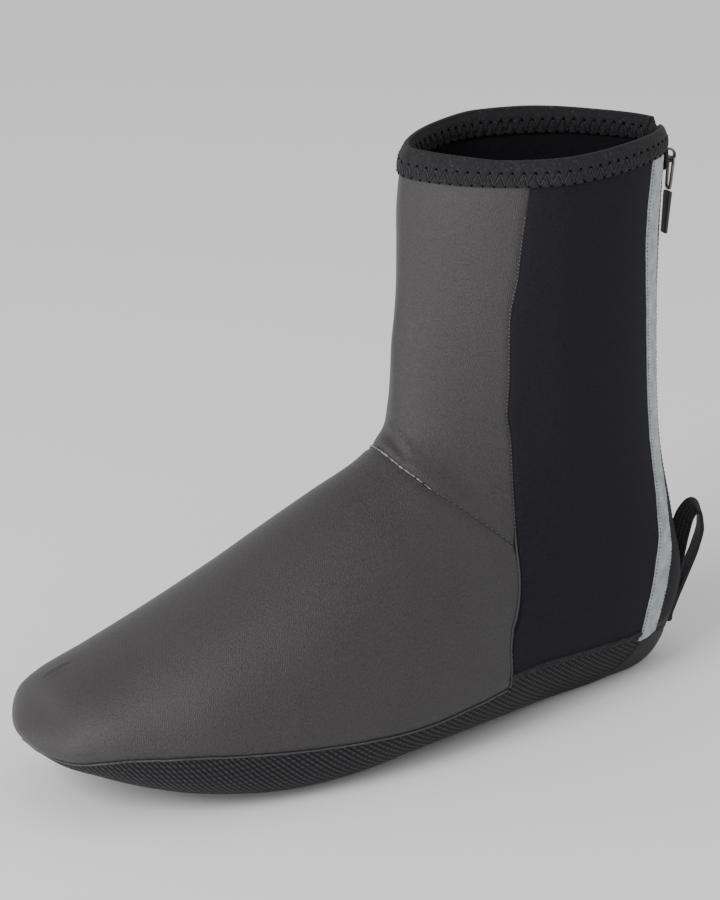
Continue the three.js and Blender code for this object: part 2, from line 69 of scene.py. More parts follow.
# Trim
BINDING_HEIGHT = 10.5
SLOT_WIDTH = 15
SLOT_BOTTOM = 21
CHAIN_WIDTH = 5.2
STRIP_WIDTH = 13

# Openings of the sole: length, width, corner, and the spot of the middle on the floor
CLEAT_OPENING = (46, 44, 12, 0.595 * LENGTH - HEEL_SEAT + 4.6, 0.04 * BALL_WIDTH)
HEEL_OPENING = (34, 26, 12, 0.59 * SHAFT_DEPTH - HEEL_SEAT - 8.5, 0)

TOOTH_PITCH = 1.35
SIDES = ((1, "left"), (-1, "right"))

# Cross-sections from the toe tip to the instep, as shares of the sizes above
FOOT_COLUMNS = ("soleX", "soleZ", "soleY", "crestX", "crestZ", "crestY", "half", "lowRound", "highRound",
                "widest")
FOOT_SECTIONS = (
    (1.000, 1.00, -0.09, 1.00, 0.00, -0.09, 0.000, 2.2, 2.20, 0.45),
    (0.975, 0.68, -0.08, 0.95, 0.13, -0.08, 0.255, 2.3, 2.20, 0.45),
    (0.927, 0.46, -0.05, 0.90, 0.23, -0.05, 0.340, 2.5, 2.20, 0.44),
    (0.870, 0.26, -0.01, 0.78, 0.345, -0.01, 0.400, 2.8, 2.15, 0.41),
    (0.798, 0.08, 0.020, 0.635, 0.48, 0.020, 0.455, 3.0, 2.10, 0.38),
    (0.702, -0.06, 0.035, 0.475, 0.64, 0.030, 0.490, 3.2, 2.00, 0.35),
    (0.595, -0.06, 0.040, 0.345, 0.78, 0.030, 0.500, 3.3, 1.95, 0.32),
    (0.479, 0.03, 0.040, 0.225, 0.90, 0.020, 0.485, 3.2, 1.90, 0.31),
    (0.354, 0.04, 0.030, 0.110, 1.00, 0.000, 0.445, 3.0, 1.90, 0.33),
)

# Cross-sections from the heel to the collar, as shares of the sizes above
SHAFT_COLUMNS = ("backX", "backZ", "frontX", "frontZ", "frontTurn", "half", "lowRound", "highRound", "widest")
SHAFT_SECTIONS = (
    (0.590, -0.010, 1.055, 0.08, 0.21, 0.506, 2.60, 1.85, 0.41),
    (0.342, -0.014, 1.028, 0.16, 0.43, 0.474, 2.25, 1.75, 0.48),
    (0.128, 0.009, 1.012, 0.25, 0.57, 0.455, 2.00, 1.70, 0.54),
    (0.000, 0.131, 1.000, 0.35, 0.68, 0.449, 1.80, 1.65, 0.56),
    (0.024, 0.261, 0.983, 0.44, 0.75, 0.455, 1.70, 1.60, 0.56),
    (0.073, 0.423, 0.964, 0.54, 0.82, 0.474, 1.70, 1.60, 0.56),
    (0.080, 0.613, 0.950, 0.675, 0.89, 0.494, 1.70, 1.60, 0.56),
    (0.064, 0.802, 0.938, 0.82, 0.95, 0.500, 1.70, 1.60, 0.56),
    (0.030, 1.000, 0.906, 1.00, 1.00, 0.500, 1.70, 1.60, 0.56),
)

# Upper edge of the sole seen from the side, as shares of LENGTH and RAND_HEIGHT
REAR_EDGE = ((-0.1, 1.0), (0.11, 1.0), (0.19, 1.08), (0.27, 1.2), (0.353, 1.31))
FRONT_EDGE = ((0.358, 1.08), (0.43, 0.98), (0.5, 0.91), (0.59, 0.98), (0.67, 1.09),
              (0.75, 1.21), (0.82, 1.31), (0.9, 1.34), (0.97, 1.2), (1.1, 1.1))

# Seam between the grey front and the black rear panel: section counted from the toe, and the
# angle round it from the back or sole, in degrees
SIDE_SEAM = ((8.2, 72), (8.54, 88), (8.93, 92), (9.36, 98), (9.92, 106), (10.56, 111), (11.89, 117),
             (12.43, 119), (13.8, 118), (14.5, 118), (15.3, 115), (16.6, 112), (17.0, 111.5))

# Seam over the instep, between the vamp and the front of the shaft, in the same terms
INSTEP_SEAM = ((106, 9.92), (116, 9.66), (126, 9.34), (136, 9.0), (143, 8.78), (151, 8.63), (163, 8.45),
               (180, 8.38), (197, 8.45), (209, 8.63), (217, 8.78), (224, 9.0), (234, 9.34), (244, 9.66),
               (254, 9.92))

# Outer edge of a reflective strip: section, and distance round it from the centre of the back as a
# share of STRIP_WIDTH
STRIP_LINE = ((10.2, 2.3), (10.8, 2.5), (11.3, 2.95), (11.9, 3.12), (12.5, 2.78), (13.1, 2.38),
              (14.2, 2.04), (15.2, 2.08), (16.1, 2.24), (17, 2.05))

# How far the rim hangs below its full height, by the distance round the collar from the zip
# towards the wearer's left
RIM_SAG = ((0, 4.2), (8, 3.5), (18, 2.0), (30, 1.2), (45, 0.7), (75, 0.9), (98, 1.2), (112, 0.4), (128, 0),
           (145, 0.4), (158, 1.3), (180, 1.1), (200, 0.4), (218, 0.3), (230, 0.7), (240, 1.3), (252, 1.9),
           (270, 2.2), (300, 2.3))

TABLE_PLACES = 341
TABLE_ANGLES = 720
NUDGE = 0.01


def smooth_line(points, at):
    """Values of a smooth line through points (x, y), at the places x given, which never swings past them"""
    xs, ys = np.array(points, float).T
    rises = np.diff(ys) / np.diff(xs)
    turning = rises[1:] * rises[:-1] <= 0
    inner = np.where(turning, 0, 2 * rises[1:] * rises[:-1] / np.where(turning, 1, rises[1:] + rises[:-1]))
    slopes = np.concatenate([rises[:1], inner, rises[-1:]])
    at = np.clip(at, xs[0], xs[-1])
    index = np.clip(np.searchsorted(xs, at, side="right") - 1, 0, len(xs) - 2)
    span = xs[index + 1] - xs[index]
    t = (at - xs[index]) / span
    return ((2 * t**3 - 3 * t**2 + 1) * ys[index] + (t**3 - 2 * t**2 + t) * span * slopes[index]
            + (3 * t**2 - 2 * t**3) * ys[index + 1] + (t**3 - t**2) * span * slopes[index + 1])


class Form:
    """The outer shape of the overshoe: a place counts sections from the toe tip to the collar, and an arc is
    the distance in millimetres round the section from the sole or back, towards the wearer's left"""

    def __init__(self):
        rows = [self.foot_section(row) for row in FOOT_SECTIONS]
        rows += [self.shaft_section(row) for row in SHAFT_SECTIONS]
        self.collar = len(rows) - 1
        tip = rows[1]
        before = [tip[3], tip[4], tip[5], tip[0], tip[1], tip[2], -tip[6], *tip[7:]]
        after = [2 * last - previous for last, previous in zip(rows[-1], rows[-2])]
        self.sections = np.array([before, *rows, after])
        self.places = np.linspace(0, self.collar, TABLE_PLACES)
        angles = np.linspace(0, tau, TABLE_ANGLES + 1)
        points = self.surface(self.places[:, None], angles[None, :])
        strides = np.linalg.norm(np.diff(points, axis=1), axis=2)
        arcs = np.concatenate([np.zeros((TABLE_PLACES, 1)), np.cumsum(strides, axis=1)], axis=1)
        self.girths = arcs[:, -1]
        self.shares = np.linspace(0, 1, TABLE_ANGLES + 1)
        spread = arcs / np.maximum(self.girths[:, None], 1e-6)
        spread[0] = self.shares
        self.angle_table = np.array([np.interp(self.shares, row, angles) for row in spread])
        self.share_table = spread
        self.angles = angles

    @staticmethod
    def foot_section(row):
        share = dict(zip(FOOT_COLUMNS, row))
        return [share["soleX"] * LENGTH - HEEL_SEAT, share["soleZ"] * TOE_LIFT, share["soleY"] * BALL_WIDTH,
                SHAFT_DEPTH + share["crestX"] * (LENGTH - SHAFT_DEPTH) - HEEL_SEAT,
                TOE_LIFT + share["crestZ"] * (INSTEP_HEIGHT - TOE_LIFT), share["crestY"] * BALL_WIDTH,
                share["half"] * BALL_WIDTH, share["lowRound"], share["highRound"], share["widest"]]

    @staticmethod
    def shaft_section(row):
        share = dict(zip(SHAFT_COLUMNS, row))
        return [share["backX"] * SHAFT_DEPTH - HEEL_SEAT, share["backZ"] * COLLAR_HEIGHT, 0,
                share["frontX"] * SHAFT_DEPTH - HEEL_SEAT,
                INSTEP_HEIGHT + share["frontZ"] * (COLLAR_HEIGHT - INSTEP_HEIGHT),
                -share["frontTurn"] * SHAFT_TURN, share["half"] * SHAFT_WIDTH,
                share["lowRound"], share["highRound"], share["widest"]]

    def surface(self, place, angle):
        place, angle = np.broadcast_arrays(place, angle)
        first = np.clip(np.floor(place).astype(int), 0, self.collar - 1)
        t = (place - first)[..., None]
        p0, p1, p2, p3 = (self.sections[first + step] for step in range(4))
        blended = 0.5 * (2 * p1 + (p2 - p0) * t + (2 * p0 - 5 * p1 + 4 * p2 - p3) * t**2
                         + (-p0 + 3 * p1 - 3 * p2 + p3) * t**3)
        back_x, back_z, back_y, front_x, front_z, front_y, half, *curve = np.moveaxis(blended, -1, 0)
        low, high, widest = curve
        across = np.abs(np.sin(angle))
        along = np.abs(np.cos(angle))
        lower = np.cos(angle) > 0
        power = 2 / np.where(lower, low, high)
        way = np.where(lower, widest * (1 - along**power), widest + (1 - widest) * along**power)
        side = np.sign(np.sin(angle)) * half * across**power
        return np.stack([back_x + (front_x - back_x) * way, back_y + (front_y - back_y) * way + side,
                         np.maximum(back_z + (front_z - back_z) * way, 0)], axis=-1)

    def normal(self, place, angle):
        along = (self.surface(np.minimum(place + NUDGE, self.collar), angle)
                 - self.surface(np.maximum(place - NUDGE, 0), angle))
        around = self.surface(place, angle + NUDGE) - self.surface(place, angle - NUDGE)
        outward = np.cross(along, around)
        return outward / np.maximum(np.linalg.norm(outward, axis=-1, keepdims=True), 1e-9)

    def girth(self, place):
        return np.interp(place, self.places, self.girths)

    def angle(self, place, arc):
        """Angle at which a section has run an arc; arcs below zero run towards the wearer's right"""
        share = arc / np.maximum(self.girth(place), 1e-6)
        turns = np.floor(share)
        row = np.clip(place / self.collar * (TABLE_PLACES - 1), 0, TABLE_PLACES - 1.001)
        column = (share - turns) * TABLE_ANGLES
        return turns * tau + self.blend(self.angle_table, row, column)

    def arc(self, place, angle):
        row = np.clip(place / self.collar * (TABLE_PLACES - 1), 0, TABLE_PLACES - 1.001)
        return self.blend(self.share_table, row, angle / tau * TABLE_ANGLES) * self.girth(place)

    @staticmethod
    def blend(table, row, column):
        i = np.floor(row).astype(int)
        j = np.clip(np.floor(column).astype(int), 0, TABLE_ANGLES - 1)
        a = row - i
        b = column - j
        return ((1 - a) * ((1 - b) * table[i, j] + b * table[i, j + 1])
                + a * ((1 - b) * table[i + 1, j] + b * table[i + 1, j + 1]))

    def at(self, place, arc, lift=0.0):
        """Point on the form, raised off it by a lift"""
        place, arc = np.broadcast_arrays(np.asarray(place, float), np.asarray(arc, float))
        angle = self.angle(place, arc)
        return self.surface(place, angle) + self.normal(place, angle) * np.asarray(lift)[..., None]

    def edge_arcs(self, edge):
        """Arcs, on the left and on the right, at which each tabled section meets the sole edge"""
        line = [(x * LENGTH - HEEL_SEAT, z * RAND_HEIGHT) for x, z in edge]
        left = []
        right = []
        for place, girth, spread in zip(self.places, self.girths, self.share_table):
            points = self.surface(np.full(self.angles.shape, place), self.angles)
            above = points[:, 2] > smooth_line(line, points[:, 0])
            if above.all() or not above.any():
                left.append(0.0)
                right.append(0.0)
                continue
            first = np.argmax(above)
            last = len(above) - 1 - np.argmax(above[::-1])
            left.append(spread[first] * girth if first else 0.0)
            right.append((1 - spread[last]) * girth if last < len(above) - 1 else 0.0)
        return np.array(left), np.array(right)


form = Form()
COLLAR = float(form.collar)
COLLAR_GIRTH = float(form.girth(COLLAR))


def soften(values, width=5):
    """Running mean that keeps the zeros of an edge"""
    padded = np.pad(values, width // 2, mode="edge")
    mean = np.convolve(padded, np.ones(width) / width, mode="valid")
    return np.where(values > 0, mean, 0)


front_left, front_right = (soften(values) for values in form.edge_arcs(FRONT_EDGE))
rear_left, rear_right = (soften(values) for values in form.edge_arcs(REAR_EDGE))


def front_edge(place, side):
    return np.interp(place, form.places, front_left if side > 0 else front_right)


def rear_edge(place, side):
    return np.interp(place, form.places, rear_left if side > 0 else rear_right)


def seam_arc(place, side):
    """Distance of the side seam from the centre of the back, on either side"""
    angle = np.radians(smooth_line(SIDE_SEAM, place))
    if side > 0:
        return form.arc(place, angle)
    return form.girth(place) - form.arc(place, tau - angle)


SEAM_FOOT = SIDE_SEAM[0][0]


def material(name, paint):
    made = bpy.data.materials.new(name)
    made.use_nodes = True
    made.node_tree.nodes.clear()
    paint(Shader(made.node_tree))
    return made


class Value:
    """A shader socket that can be used in sums"""

    def __init__(self, shader, socket):
        self.shader = shader
        self.socket = socket

    def maths(self, operation, *values):
        return self.shader.node("ShaderNodeMath", {"operation": operation}, dict(enumerate(values)))

    def __add__(self, other):
        return self.maths("ADD", self, other)

    def __sub__(self, other):
        return self.maths("SUBTRACT", self, other)

    def __rsub__(self, other):
        return self.maths("SUBTRACT", other, self)

    def __mul__(self, other):
        return self.maths("MULTIPLY", self, other)

    def __truediv__(self, other):
        return self.maths("DIVIDE", self, other)

    __radd__ = __add__
    __rmul__ = __mul__

    def wave(self, pitch):
        """Even ridges, from 0 to 1, one for each pitch"""
        return self.maths("SINE", self * (tau / pitch)) * 0.5 + 0.5

    def clamp(self):
        return self.shader.node("ShaderNodeClamp", {}, {0: self})


class Shader:
    """Nodes of one material, made and joined by Python expressions"""

    def __init__(self, tree):
        self.tree = tree

    def node(self, kind, settings=None, inputs=None, output=0):
        made = self.tree.nodes.new(kind)
        for name, value in (settings or {}).items():
            setattr(made, name, value)
        for name, value in (inputs or {}).items():
            if isinstance(value, Value):
                self.tree.links.new(value.socket, made.inputs[name])
            else:
                made.inputs[name].default_value = value
        return Value(self, made.outputs[output]) if made.outputs else None

    def place(self):
        return self.node("ShaderNodeTexCoord", output="Object")

    def cloth(self):
        """Coordinates along the cloth, in metres, as two values"""
        first = self.node("ShaderNodeSeparateXYZ", {}, {0: self.node("ShaderNodeUVMap", {"uv_map": "cloth"})})
        return first, Value(self, first.socket.node.outputs["Y"])

    def join(self, first, second):
        return self.node("ShaderNodeCombineXYZ", {}, {0: first, 1: second})

    def noise(self, scale, detail=3, roughness=0.5, vector=None):
        return self.node("ShaderNodeTexNoise", {}, {"Vector": vector or self.place(), "Scale": scale,
                                                   "Detail": detail, "Roughness": roughness})

    def mix(self, factor, first, second):
        settings = {"data_type": "RGBA"}
        return self.node("ShaderNodeMix", settings, {0: factor, 6: first, 7: second}, output=2)

    def bump(self, height, distance):
        return self.node("ShaderNodeBump", {}, {"Height": height, "Distance": distance, "Strength": 1})

    def finish(self, **inputs):
        names = {key.replace("_", " "): value for key, value in inputs.items()}
        surface = self.node("ShaderNodeBsdfPrincipled", {}, names)
        self.node("ShaderNodeOutputMaterial", {}, {"Surface": surface})


def tone(red, green, blue):
    """Linear colour from the usual 0 to 255 values"""
    linear = [((c / 255 + 0.055) / 1.055) ** 2.4 if c > 10 else c / 255 / 12.92 for c in (red, green, blue)]
    return (*linear, 1.0)


def coated_grey(shader):
    """Grey neoprene face: fine knit columns under a worn matt coating"""
    column, course = shader.cloth()
    loops = shader.noise(1, detail=2, vector=shader.join(column / (0.42 * MM), course / (0.9 * MM)))
    columns = column.wave(0.75 * MM) * 0.16
    grain = shader.noise(1400, detail=2)
    patches = shader.noise(26, detail=4)
    speck = (loops * 0.55 + grain * 0.45 - 0.32) * 3
    colour = shader.mix((patches * 0.3 + speck.clamp() * 0.7).clamp(), tone(32, 30, 31), tone(66, 63, 64))
    shader.finish(Base_Color=colour, Roughness=patches * 0.08 + grain * 0.1 + 0.4,
                  Normal=shader.bump(loops * 1.2 + columns + grain * 0.6, 0.2 * MM), Sheen_Weight=0.06,
                  Sheen_Roughness=0.4, Specular_IOR_Level=0.38)


def black_jersey(shader):
    """Black knit face with fibre flecks"""
    column, course = shader.cloth()
    loops = shader.noise(1, detail=2, vector=shader.join(column / (0.8 * MM), course / (0.45 * MM)))
    grain = shader.noise(1100, detail=2)
    patches = shader.noise(16, detail=3)
    speck = (loops * 0.6 + grain * 0.4 - 0.28) * 2.2
    fibre = shader.mix(speck.clamp(), tone(9, 8, 12), tone(34, 33, 41))
    colour = shader.mix(patches * 0.6, fibre, tone(21, 20, 27))
    shader.finish(Base_Color=colour, Roughness=0.85, Normal=shader.bump(loops + grain, 0.14 * MM),
                  Sheen_Weight=0.03, Sheen_Roughness=0.5, Specular_IOR_Level=0.2)


def fleece(shader):
    """Soft black lining"""
    tufts = shader.noise(420, detail=5, roughness=0.7)
    colour = shader.mix(tufts, tone(10, 9, 14), tone(30, 29, 34))
    shader.finish(Base_Color=colour, Roughness=0.95, Normal=shader.bump(tufts, 0.5 * MM),
                  Specular_IOR_Level=0.15)


def ribbed_black(shader):
    """Sole fabric with slanted raised ribs, broken into short steps, with painted highlights on the rib tops
    and painted shade in the gaps
    """
    along, up = shader.cloth()
    across_ribs = up * 0.72 - along * (0.8 - along * 0.6)
    along_ribs = along * 0.79 + up * 0.62
    sway = shader.noise(60, detail=2)
    ribs = (across_ribs + sway * (0.5 * MM)).wave(1.75 * MM)
    steps = (along_ribs + across_ribs * 0.6).wave(2.3 * MM) * 0.6 + 0.4
    grain = shader.noise(1300, detail=3)
    height = ribs * steps + grain * 0.25
    # Colour follows the rib height: painted highlight on the rib tops, painted shade in the gaps between them
    colour = shader.mix((height * 1.7 - 0.55).clamp(), tone(0, 0, 1), tone(60, 58, 64))
    shader.finish(Base_Color=colour, Roughness=0.72, Normal=shader.bump(height, 0.9 * MM),
                  Specular_IOR_Level=0.35)


def bound_black(shader):
    """Stretch binding with grey flecks and soft folds"""
    grain = shader.noise(1300, detail=3, roughness=0.6)
    flecks = ((shader.noise(800, detail=1) - 0.6) * 7).clamp()
    folds = shader.noise(90, detail=3)
    base = shader.mix((grain * 1.6 - 0.4).clamp(), tone(12, 12, 14), tone(42, 42, 46))
    colour = shader.mix(flecks * 0.5, base, tone(62, 62, 66))
    shader.finish(Base_Color=colour, Roughness=0.82, Normal=shader.bump(grain * 1.5 + folds, 0.3 * MM),
                  Sheen_Weight=0.05, Sheen_Roughness=0.5, Specular_IOR_Level=0.3)


def rolled_black(shader):
    """Rubbery rolled edge"""
    grain = shader.noise(1300, detail=3, roughness=0.6)
    colour = shader.mix((grain * 1.6 - 0.4).clamp(), tone(14, 14, 16), tone(70, 69, 74))
    shader.finish(Base_Color=colour, Roughness=0.7, Normal=shader.bump(grain, 0.3 * MM),
                  Specular_IOR_Level=0.35)


def heel_shade_black(shader):
    """Painted shade: smooth dark sheet round the heel, where the ribbed sole turns under in shade"""
    grain = shader.noise(900, detail=2)
    colour = shader.mix(grain, tone(16, 16, 18), tone(28, 28, 30))
    shader.finish(Base_Color=colour, Roughness=0.6, Normal=shader.bump(grain, 0.08 * MM),
                  Specular_IOR_Level=0.35)


def black_thread(shader):
    grain = shader.noise(1500, detail=2)
    colour = shader.mix(((grain - 0.35) * 3).clamp(), tone(6, 6, 8), tone(62, 62, 67))
    shader.finish(Base_Color=colour, Roughness=0.6, Normal=shader.bump(grain, 0.1 * MM))


def grey_thread(shader):
    grain = shader.noise(1500, detail=2)
    colour = shader.mix(grain, tone(66, 65, 68), tone(116, 115, 118))
    shader.finish(Base_Color=colour, Roughness=0.55, Normal=shader.bump(grain, 0.1 * MM))


def needle_shade_dark(shader):
    """Painted shade: near-black blob standing in for the shadow in the pit where a needle went through"""
    grain = shader.noise(1500, detail=2)
    colour = shader.mix(grain, tone(1, 1, 1), tone(6, 6, 7))
    shader.finish(Base_Color=colour, Roughness=0.95, Specular_IOR_Level=0.05)


def reflective_tape(shader):
    """Silver tape: glass beads with clouds and blotches of wear"""
    beads = shader.noise(1600, detail=2)
    clouds = shader.noise(60, detail=4)
    blotches = ((shader.noise(230, detail=3) - 0.35) * 2.5).clamp()
    colour = shader.mix(clouds * 0.4 + blotches * 0.6, tone(132, 137, 138), tone(190, 194, 196))
    shader.finish(Base_Color=colour, Roughness=beads * 0.15 + 0.42, Metallic=0.35,
                  Normal=shader.bump(beads + clouds * 0.6, 0.08 * MM))


def grey_seam(shader):
    grain = shader.noise(1100, detail=3)
    colour = shader.mix(grain, tone(36, 35, 37), tone(64, 63, 66))
    shader.finish(Base_Color=colour, Roughness=0.5, Normal=shader.bump(grain, 0.15 * MM))


def welded_grey(shader):
    """Bright and dark lumps of the welded line"""
    grain = shader.noise(700, detail=3)
    colour = shader.mix(((grain - 0.35) * 3).clamp(), tone(30, 29, 30), tone(150, 149, 150))
    shader.finish(Base_Color=colour, Roughness=grain * 0.2 + 0.22, Normal=shader.bump(grain, 0.2 * MM))


def zip_tape_cloth(shader):
    """Woven tape of the zip"""
    along, across = shader.cloth()
    weave = along.wave(0.7 * MM) * 0.5 + across.wave(0.5 * MM) * 0.5
    colour = shader.mix(weave, tone(14, 14, 17), tone(36, 36, 40))
    shader.finish(Base_Color=colour, Roughness=0.8, Normal=shader.bump(weave, 0.15 * MM))


def webbing(shader):
    """Ribbed black webbing of the loop"""
    along, across = shader.cloth()
    ribs = (along.wave(1.1 * MM) + across.wave(1.6 * MM)) * 0.5
    grain = shader.noise(900, detail=3)
    colour = shader.mix(ribs * 0.6 + grain * 0.4, tone(4, 4, 5), tone(22, 22, 24))
    shader.finish(Base_Color=colour, Roughness=0.75, Normal=shader.bump(ribs + grain * 0.5, 0.3 * MM))


def moulded_grey(shader):
    """Moulded plastic of the teeth and the grip"""
    grain = shader.noise(600, detail=3)
    colour = shader.mix(grain, tone(50, 48, 53), tone(66, 64, 70))
    shader.finish(Base_Color=colour, Roughness=grain * 0.1 + 0.5, Normal=shader.bump(grain, 0.06 * MM))


def satin_metal(shader):
    scratches = shader.noise(500, detail=4)
    colour = shader.mix(scratches, tone(88, 87, 84), tone(142, 141, 138))
    shader.finish(Base_Color=colour, Roughness=scratches * 0.15 + 0.3, Metallic=1.0,
                  Normal=shader.bump(scratches, 0.03 * MM))


def dark_metal(shader):
    scratches = shader.noise(500, detail=4)
    colour = shader.mix(scratches, tone(34, 34, 35), tone(64, 63, 62))
    shader.finish(Base_Color=colour, Roughness=scratches * 0.15 + 0.35, Metallic=1.0,
                  Normal=shader.bump(scratches, 0.03 * MM))


FINISHES = (coated_grey, black_jersey, fleece, ribbed_black, bound_black, black_thread, grey_thread,
            needle_shade_dark, reflective_tape, grey_seam, welded_grey, rolled_black, heel_shade_black, zip_tape_cloth,
            webbing, moulded_grey, satin_metal, dark_metal)
MATERIALS = {paint.__name__: material(paint.__name__, paint) for paint in FINISHES}


def from_mm(name, bm):
    """Object at the origin, in metres, from a bmesh in millimetres"""
    bmesh.ops.scale(bm, vec=(MM, MM, MM), verts=bm.verts)
    mesh = bpy.data.meshes.new(name)
    bm.to_mesh(mesh)
    bm.free()
    made = bpy.data.objects.new(name, mesh)
    bpy.context.scene.collection.objects.link(made)
    return made


def sized(spot, size, turn=Matrix.Identity(4)):
    """Matrix that gives a unit shape its size, turns it and puts it at a spot"""
    return Matrix.Translation(spot) @ turn @ Matrix.Diagonal((*size, 1))


def round_edges(bm, edges, offset, segments):
    bmesh.ops.bevel(bm, geom=edges, offset=offset, segments=segments, affect="EDGES", profile=0.5,
                    material=-1)


def finished(name, bm, finishes, nodes=(), body=BODY, solid=0.0, smooth=True):
    """A finished piece from a bmesh in millimetres, riding on its body"""
    piece = from_mm(name, bm)
    for finish in finishes:
        piece.data.materials.append(MATERIALS[finish])
    if smooth:
        piece.data.shade_smooth()
    if solid:
        wall = piece.modifiers.new("wall", "SOLIDIFY")
        wall.thickness = solid * MM
        wall.offset = -1
        wall.use_rim = True
        wall.material_offset = len(finishes) - 1
    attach(piece, body)
    if nodes:
        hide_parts(*nodes)
    return piece


def sheet(rows, columns, spread, flip=False):
    """Cloth that covers part of the form: spread gives points and cloth coordinates, both in millimetres,
    from the shares along the rows and the columns. A flip turns its faces round."""
    bm = bmesh.new()
    cloth = bm.loops.layers.uv.new("cloth")
    bmesh.ops.create_grid(bm, x_segments=rows, y_segments=columns, size=1.0)
    shares = (np.array([vertex.co.xy for vertex in bm.verts]) + 1) / 2
    points, first, second = spread(shares[:, 0], shares[:, 1])
    for face in bm.faces:
        for loop in face.loops:
            index = loop.vert.index
            loop[cloth].uv = (first[index] * MM, second[index] * MM)
    for vertex, point in zip(bm.verts, points):
        vertex.co = point
    bmesh.ops.remove_doubles(bm, verts=bm.verts, dist=0.02)
    if flip:
        bmesh.ops.reverse_faces(bm, faces=bm.faces)
    return bm


def line_distance(points, line):
    """Distance of each point from a line of points, and the share of the line at the nearest one"""
    best = np.full(len(points), 1e9)
    share = np.zeros(len(points))
    for index, spot in enumerate(line):
        away = np.linalg.norm(points - spot, axis=1)
        nearer = away < best
        best = np.where(nearer, away, best)
        share = np.where(nearer, index / (len(line) - 1), share)
    return best, share


def instep_line(count=80):
    angles = np.linspace(INSTEP_SEAM[0][0], INSTEP_SEAM[-1][0], count)
    return smooth_line(INSTEP_SEAM, angles), np.radians(angles)


def instep_shares():
    """Shares of the way across the grey cloth, from seam to seam, with the sections of the instep seam"""
    places, angles = instep_line(201)
    low = seam_arc(places, 1)
    high = form.girth(places) - seam_arc(places, -1)
    shares = (form.arc(places, angles) - low) / (high - low)
    shares[0] = 0
    shares[-1] = 1
    return shares, places


# Creases pressed into the grey cloth: start and end as section and angle, depth and width
CREASES = (
    ((8.95, 196), (8.72, 158), 0.8, 1.7),
    ((1.75, 196), (2.45, 190), 0.6, 1.0),
    ((9.9, 140), (9.75, 112), 0.3, 4.0),
    ((8.1, 200), (8.25, 150), 0.25, 4.0),
)


def creased(points, normals):
    """Points of the grey cloth with its creases pressed in"""
    for (start_place, start_angle), (end_place, end_angle), depth, width in CREASES:
        steps = np.linspace(0, 1, 40)
        line = form.surface(start_place + (end_place - start_place) * steps,
                            np.radians(start_angle + (end_angle - start_angle) * steps))
        away, share = line_distance(points, line)
        taper = np.sin(pi * np.clip(share, 0, 1)) ** 0.7
        trough = np.exp(-((away / width) ** 2)) - 0.45 * np.exp(-(((away - 2 * width) / width) ** 2))
        points = points - normals * (depth * taper * trough)[:, None]
    return points


def grey_cloth(place, arc, lift):
    """Points of the creased grey cloth, raised off the form by a lift"""
    angle = form.angle(place, arc)
    normals = form.normal(place, angle)
    return creased(form.surface(place, angle), normals) + normals * lift[:, None]


def collar_place(height, angle):
    """Section of the shaft that passes through a height at an angle"""
    place = np.full(np.shape(angle), COLLAR)
    for _ in range(6):
        under = np.minimum(place, form.collar - NUDGE)
        here = form.surface(place, angle)[..., 2]
        slope = (form.surface(under, angle)[..., 2] - form.surface(under - NUDGE, angle)[..., 2]) / NUDGE
        place = np.clip(place - (here - height) / slope, form.collar - 3, form.collar)
    return place


def rim_height(arc):
    """Height of the rim at a distance round the collar from the back, towards the wearer's left"""
    return COLLAR_HEIGHT - smooth_line(RIM_SAG, np.mod(arc, COLLAR_GIRTH))


# How far the cloth ends under the rim, inside the binding
CLOTH_UNDER_RIM = 3.2


def cloth_top(arc):
    """Section at which the cloth ends under the binding, at a distance round the collar"""
    angle = form.angle(COLLAR, arc)
    return collar_place(rim_height(arc) - CLOTH_UNDER_RIM, angle)


def round_collar(arc, lift, height):
    """Point at a distance round the collar from the back, off the cloth by a lift, at a height"""
    angle = form.angle(COLLAR, arc)
    place = collar_place(np.minimum(height, COLLAR_HEIGHT), angle)
    points = form.surface(place, angle) + form.normal(place, angle) * np.asarray(lift)[..., None]
    points[..., 2] = height
    return points


# Depth and reach of the dip beside a seam, and the usual distance between two sections over the instep
SEAM_SINK = 0.7
SEAM_ROLL = 1.6
SECTION_STEP = 11


def rolled(distance):
    """How far cloth dips beside a seam at a distance from it"""
    return -SEAM_SINK * np.exp(-((distance / SEAM_ROLL) ** 2))


def vamp():
    """Grey front of the foot, from the toe tip to the instep seam"""
    shares, seam_places = instep_shares()

    def spread(along, across):
        seam = np.interp(across, shares, seam_places)
        place = seam * along**0.9
        low = np.where(place < SEAM_FOOT, front_edge(place, 1), seam_arc(place, 1))
        high = form.girth(place) - np.where(place < SEAM_FOOT, front_edge(place, -1), seam_arc(place, -1))
        arc = low + (high - low) * across
        down = np.minimum(arc - low, high - arc)
        lift = rolled(down) * (place > 0.8) + rolled((1 - along) * seam * SECTION_STEP)
        points = grey_cloth(place, arc, lift)
        return points, points[:, 0] - 0.49 * points[:, 1], arc

    bm = sheet(190, 150, spread)
    finished("vamp", bm, ("coated_grey", "fleece"), ("upper",), solid=WALL)


def shaft_front():
    """Grey front of the shaft, from the instep seam to the binding"""
    steps = np.linspace(0, 1, 201)
    shares, seam_places = instep_shares()
    tops = np.full(201, COLLAR)
    low = seam_arc(tops, 1)
    high = form.girth(tops) - seam_arc(tops, -1)
    tops = cloth_top(low + (high - low) * steps)

    def spread(along, across):
        seam = np.interp(across, shares, seam_places)
        place = seam + (np.interp(across, steps, tops) - seam) * along
        low = seam_arc(place, 1)
        high = form.girth(place) - seam_arc(place, -1)
        arc = low + (high - low) * across
        down = np.minimum(arc - low, high - arc)
        lift = rolled(down) + rolled((place - seam) * SECTION_STEP)
        points = grey_cloth(place, arc, lift)
        return points, arc - (low + high) / 2, points[:, 2]

    bm = sheet(150, 110, spread)
    finished("shaft_front", bm, ("coated_grey", "fleece"), ("upper",), solid=WALL)


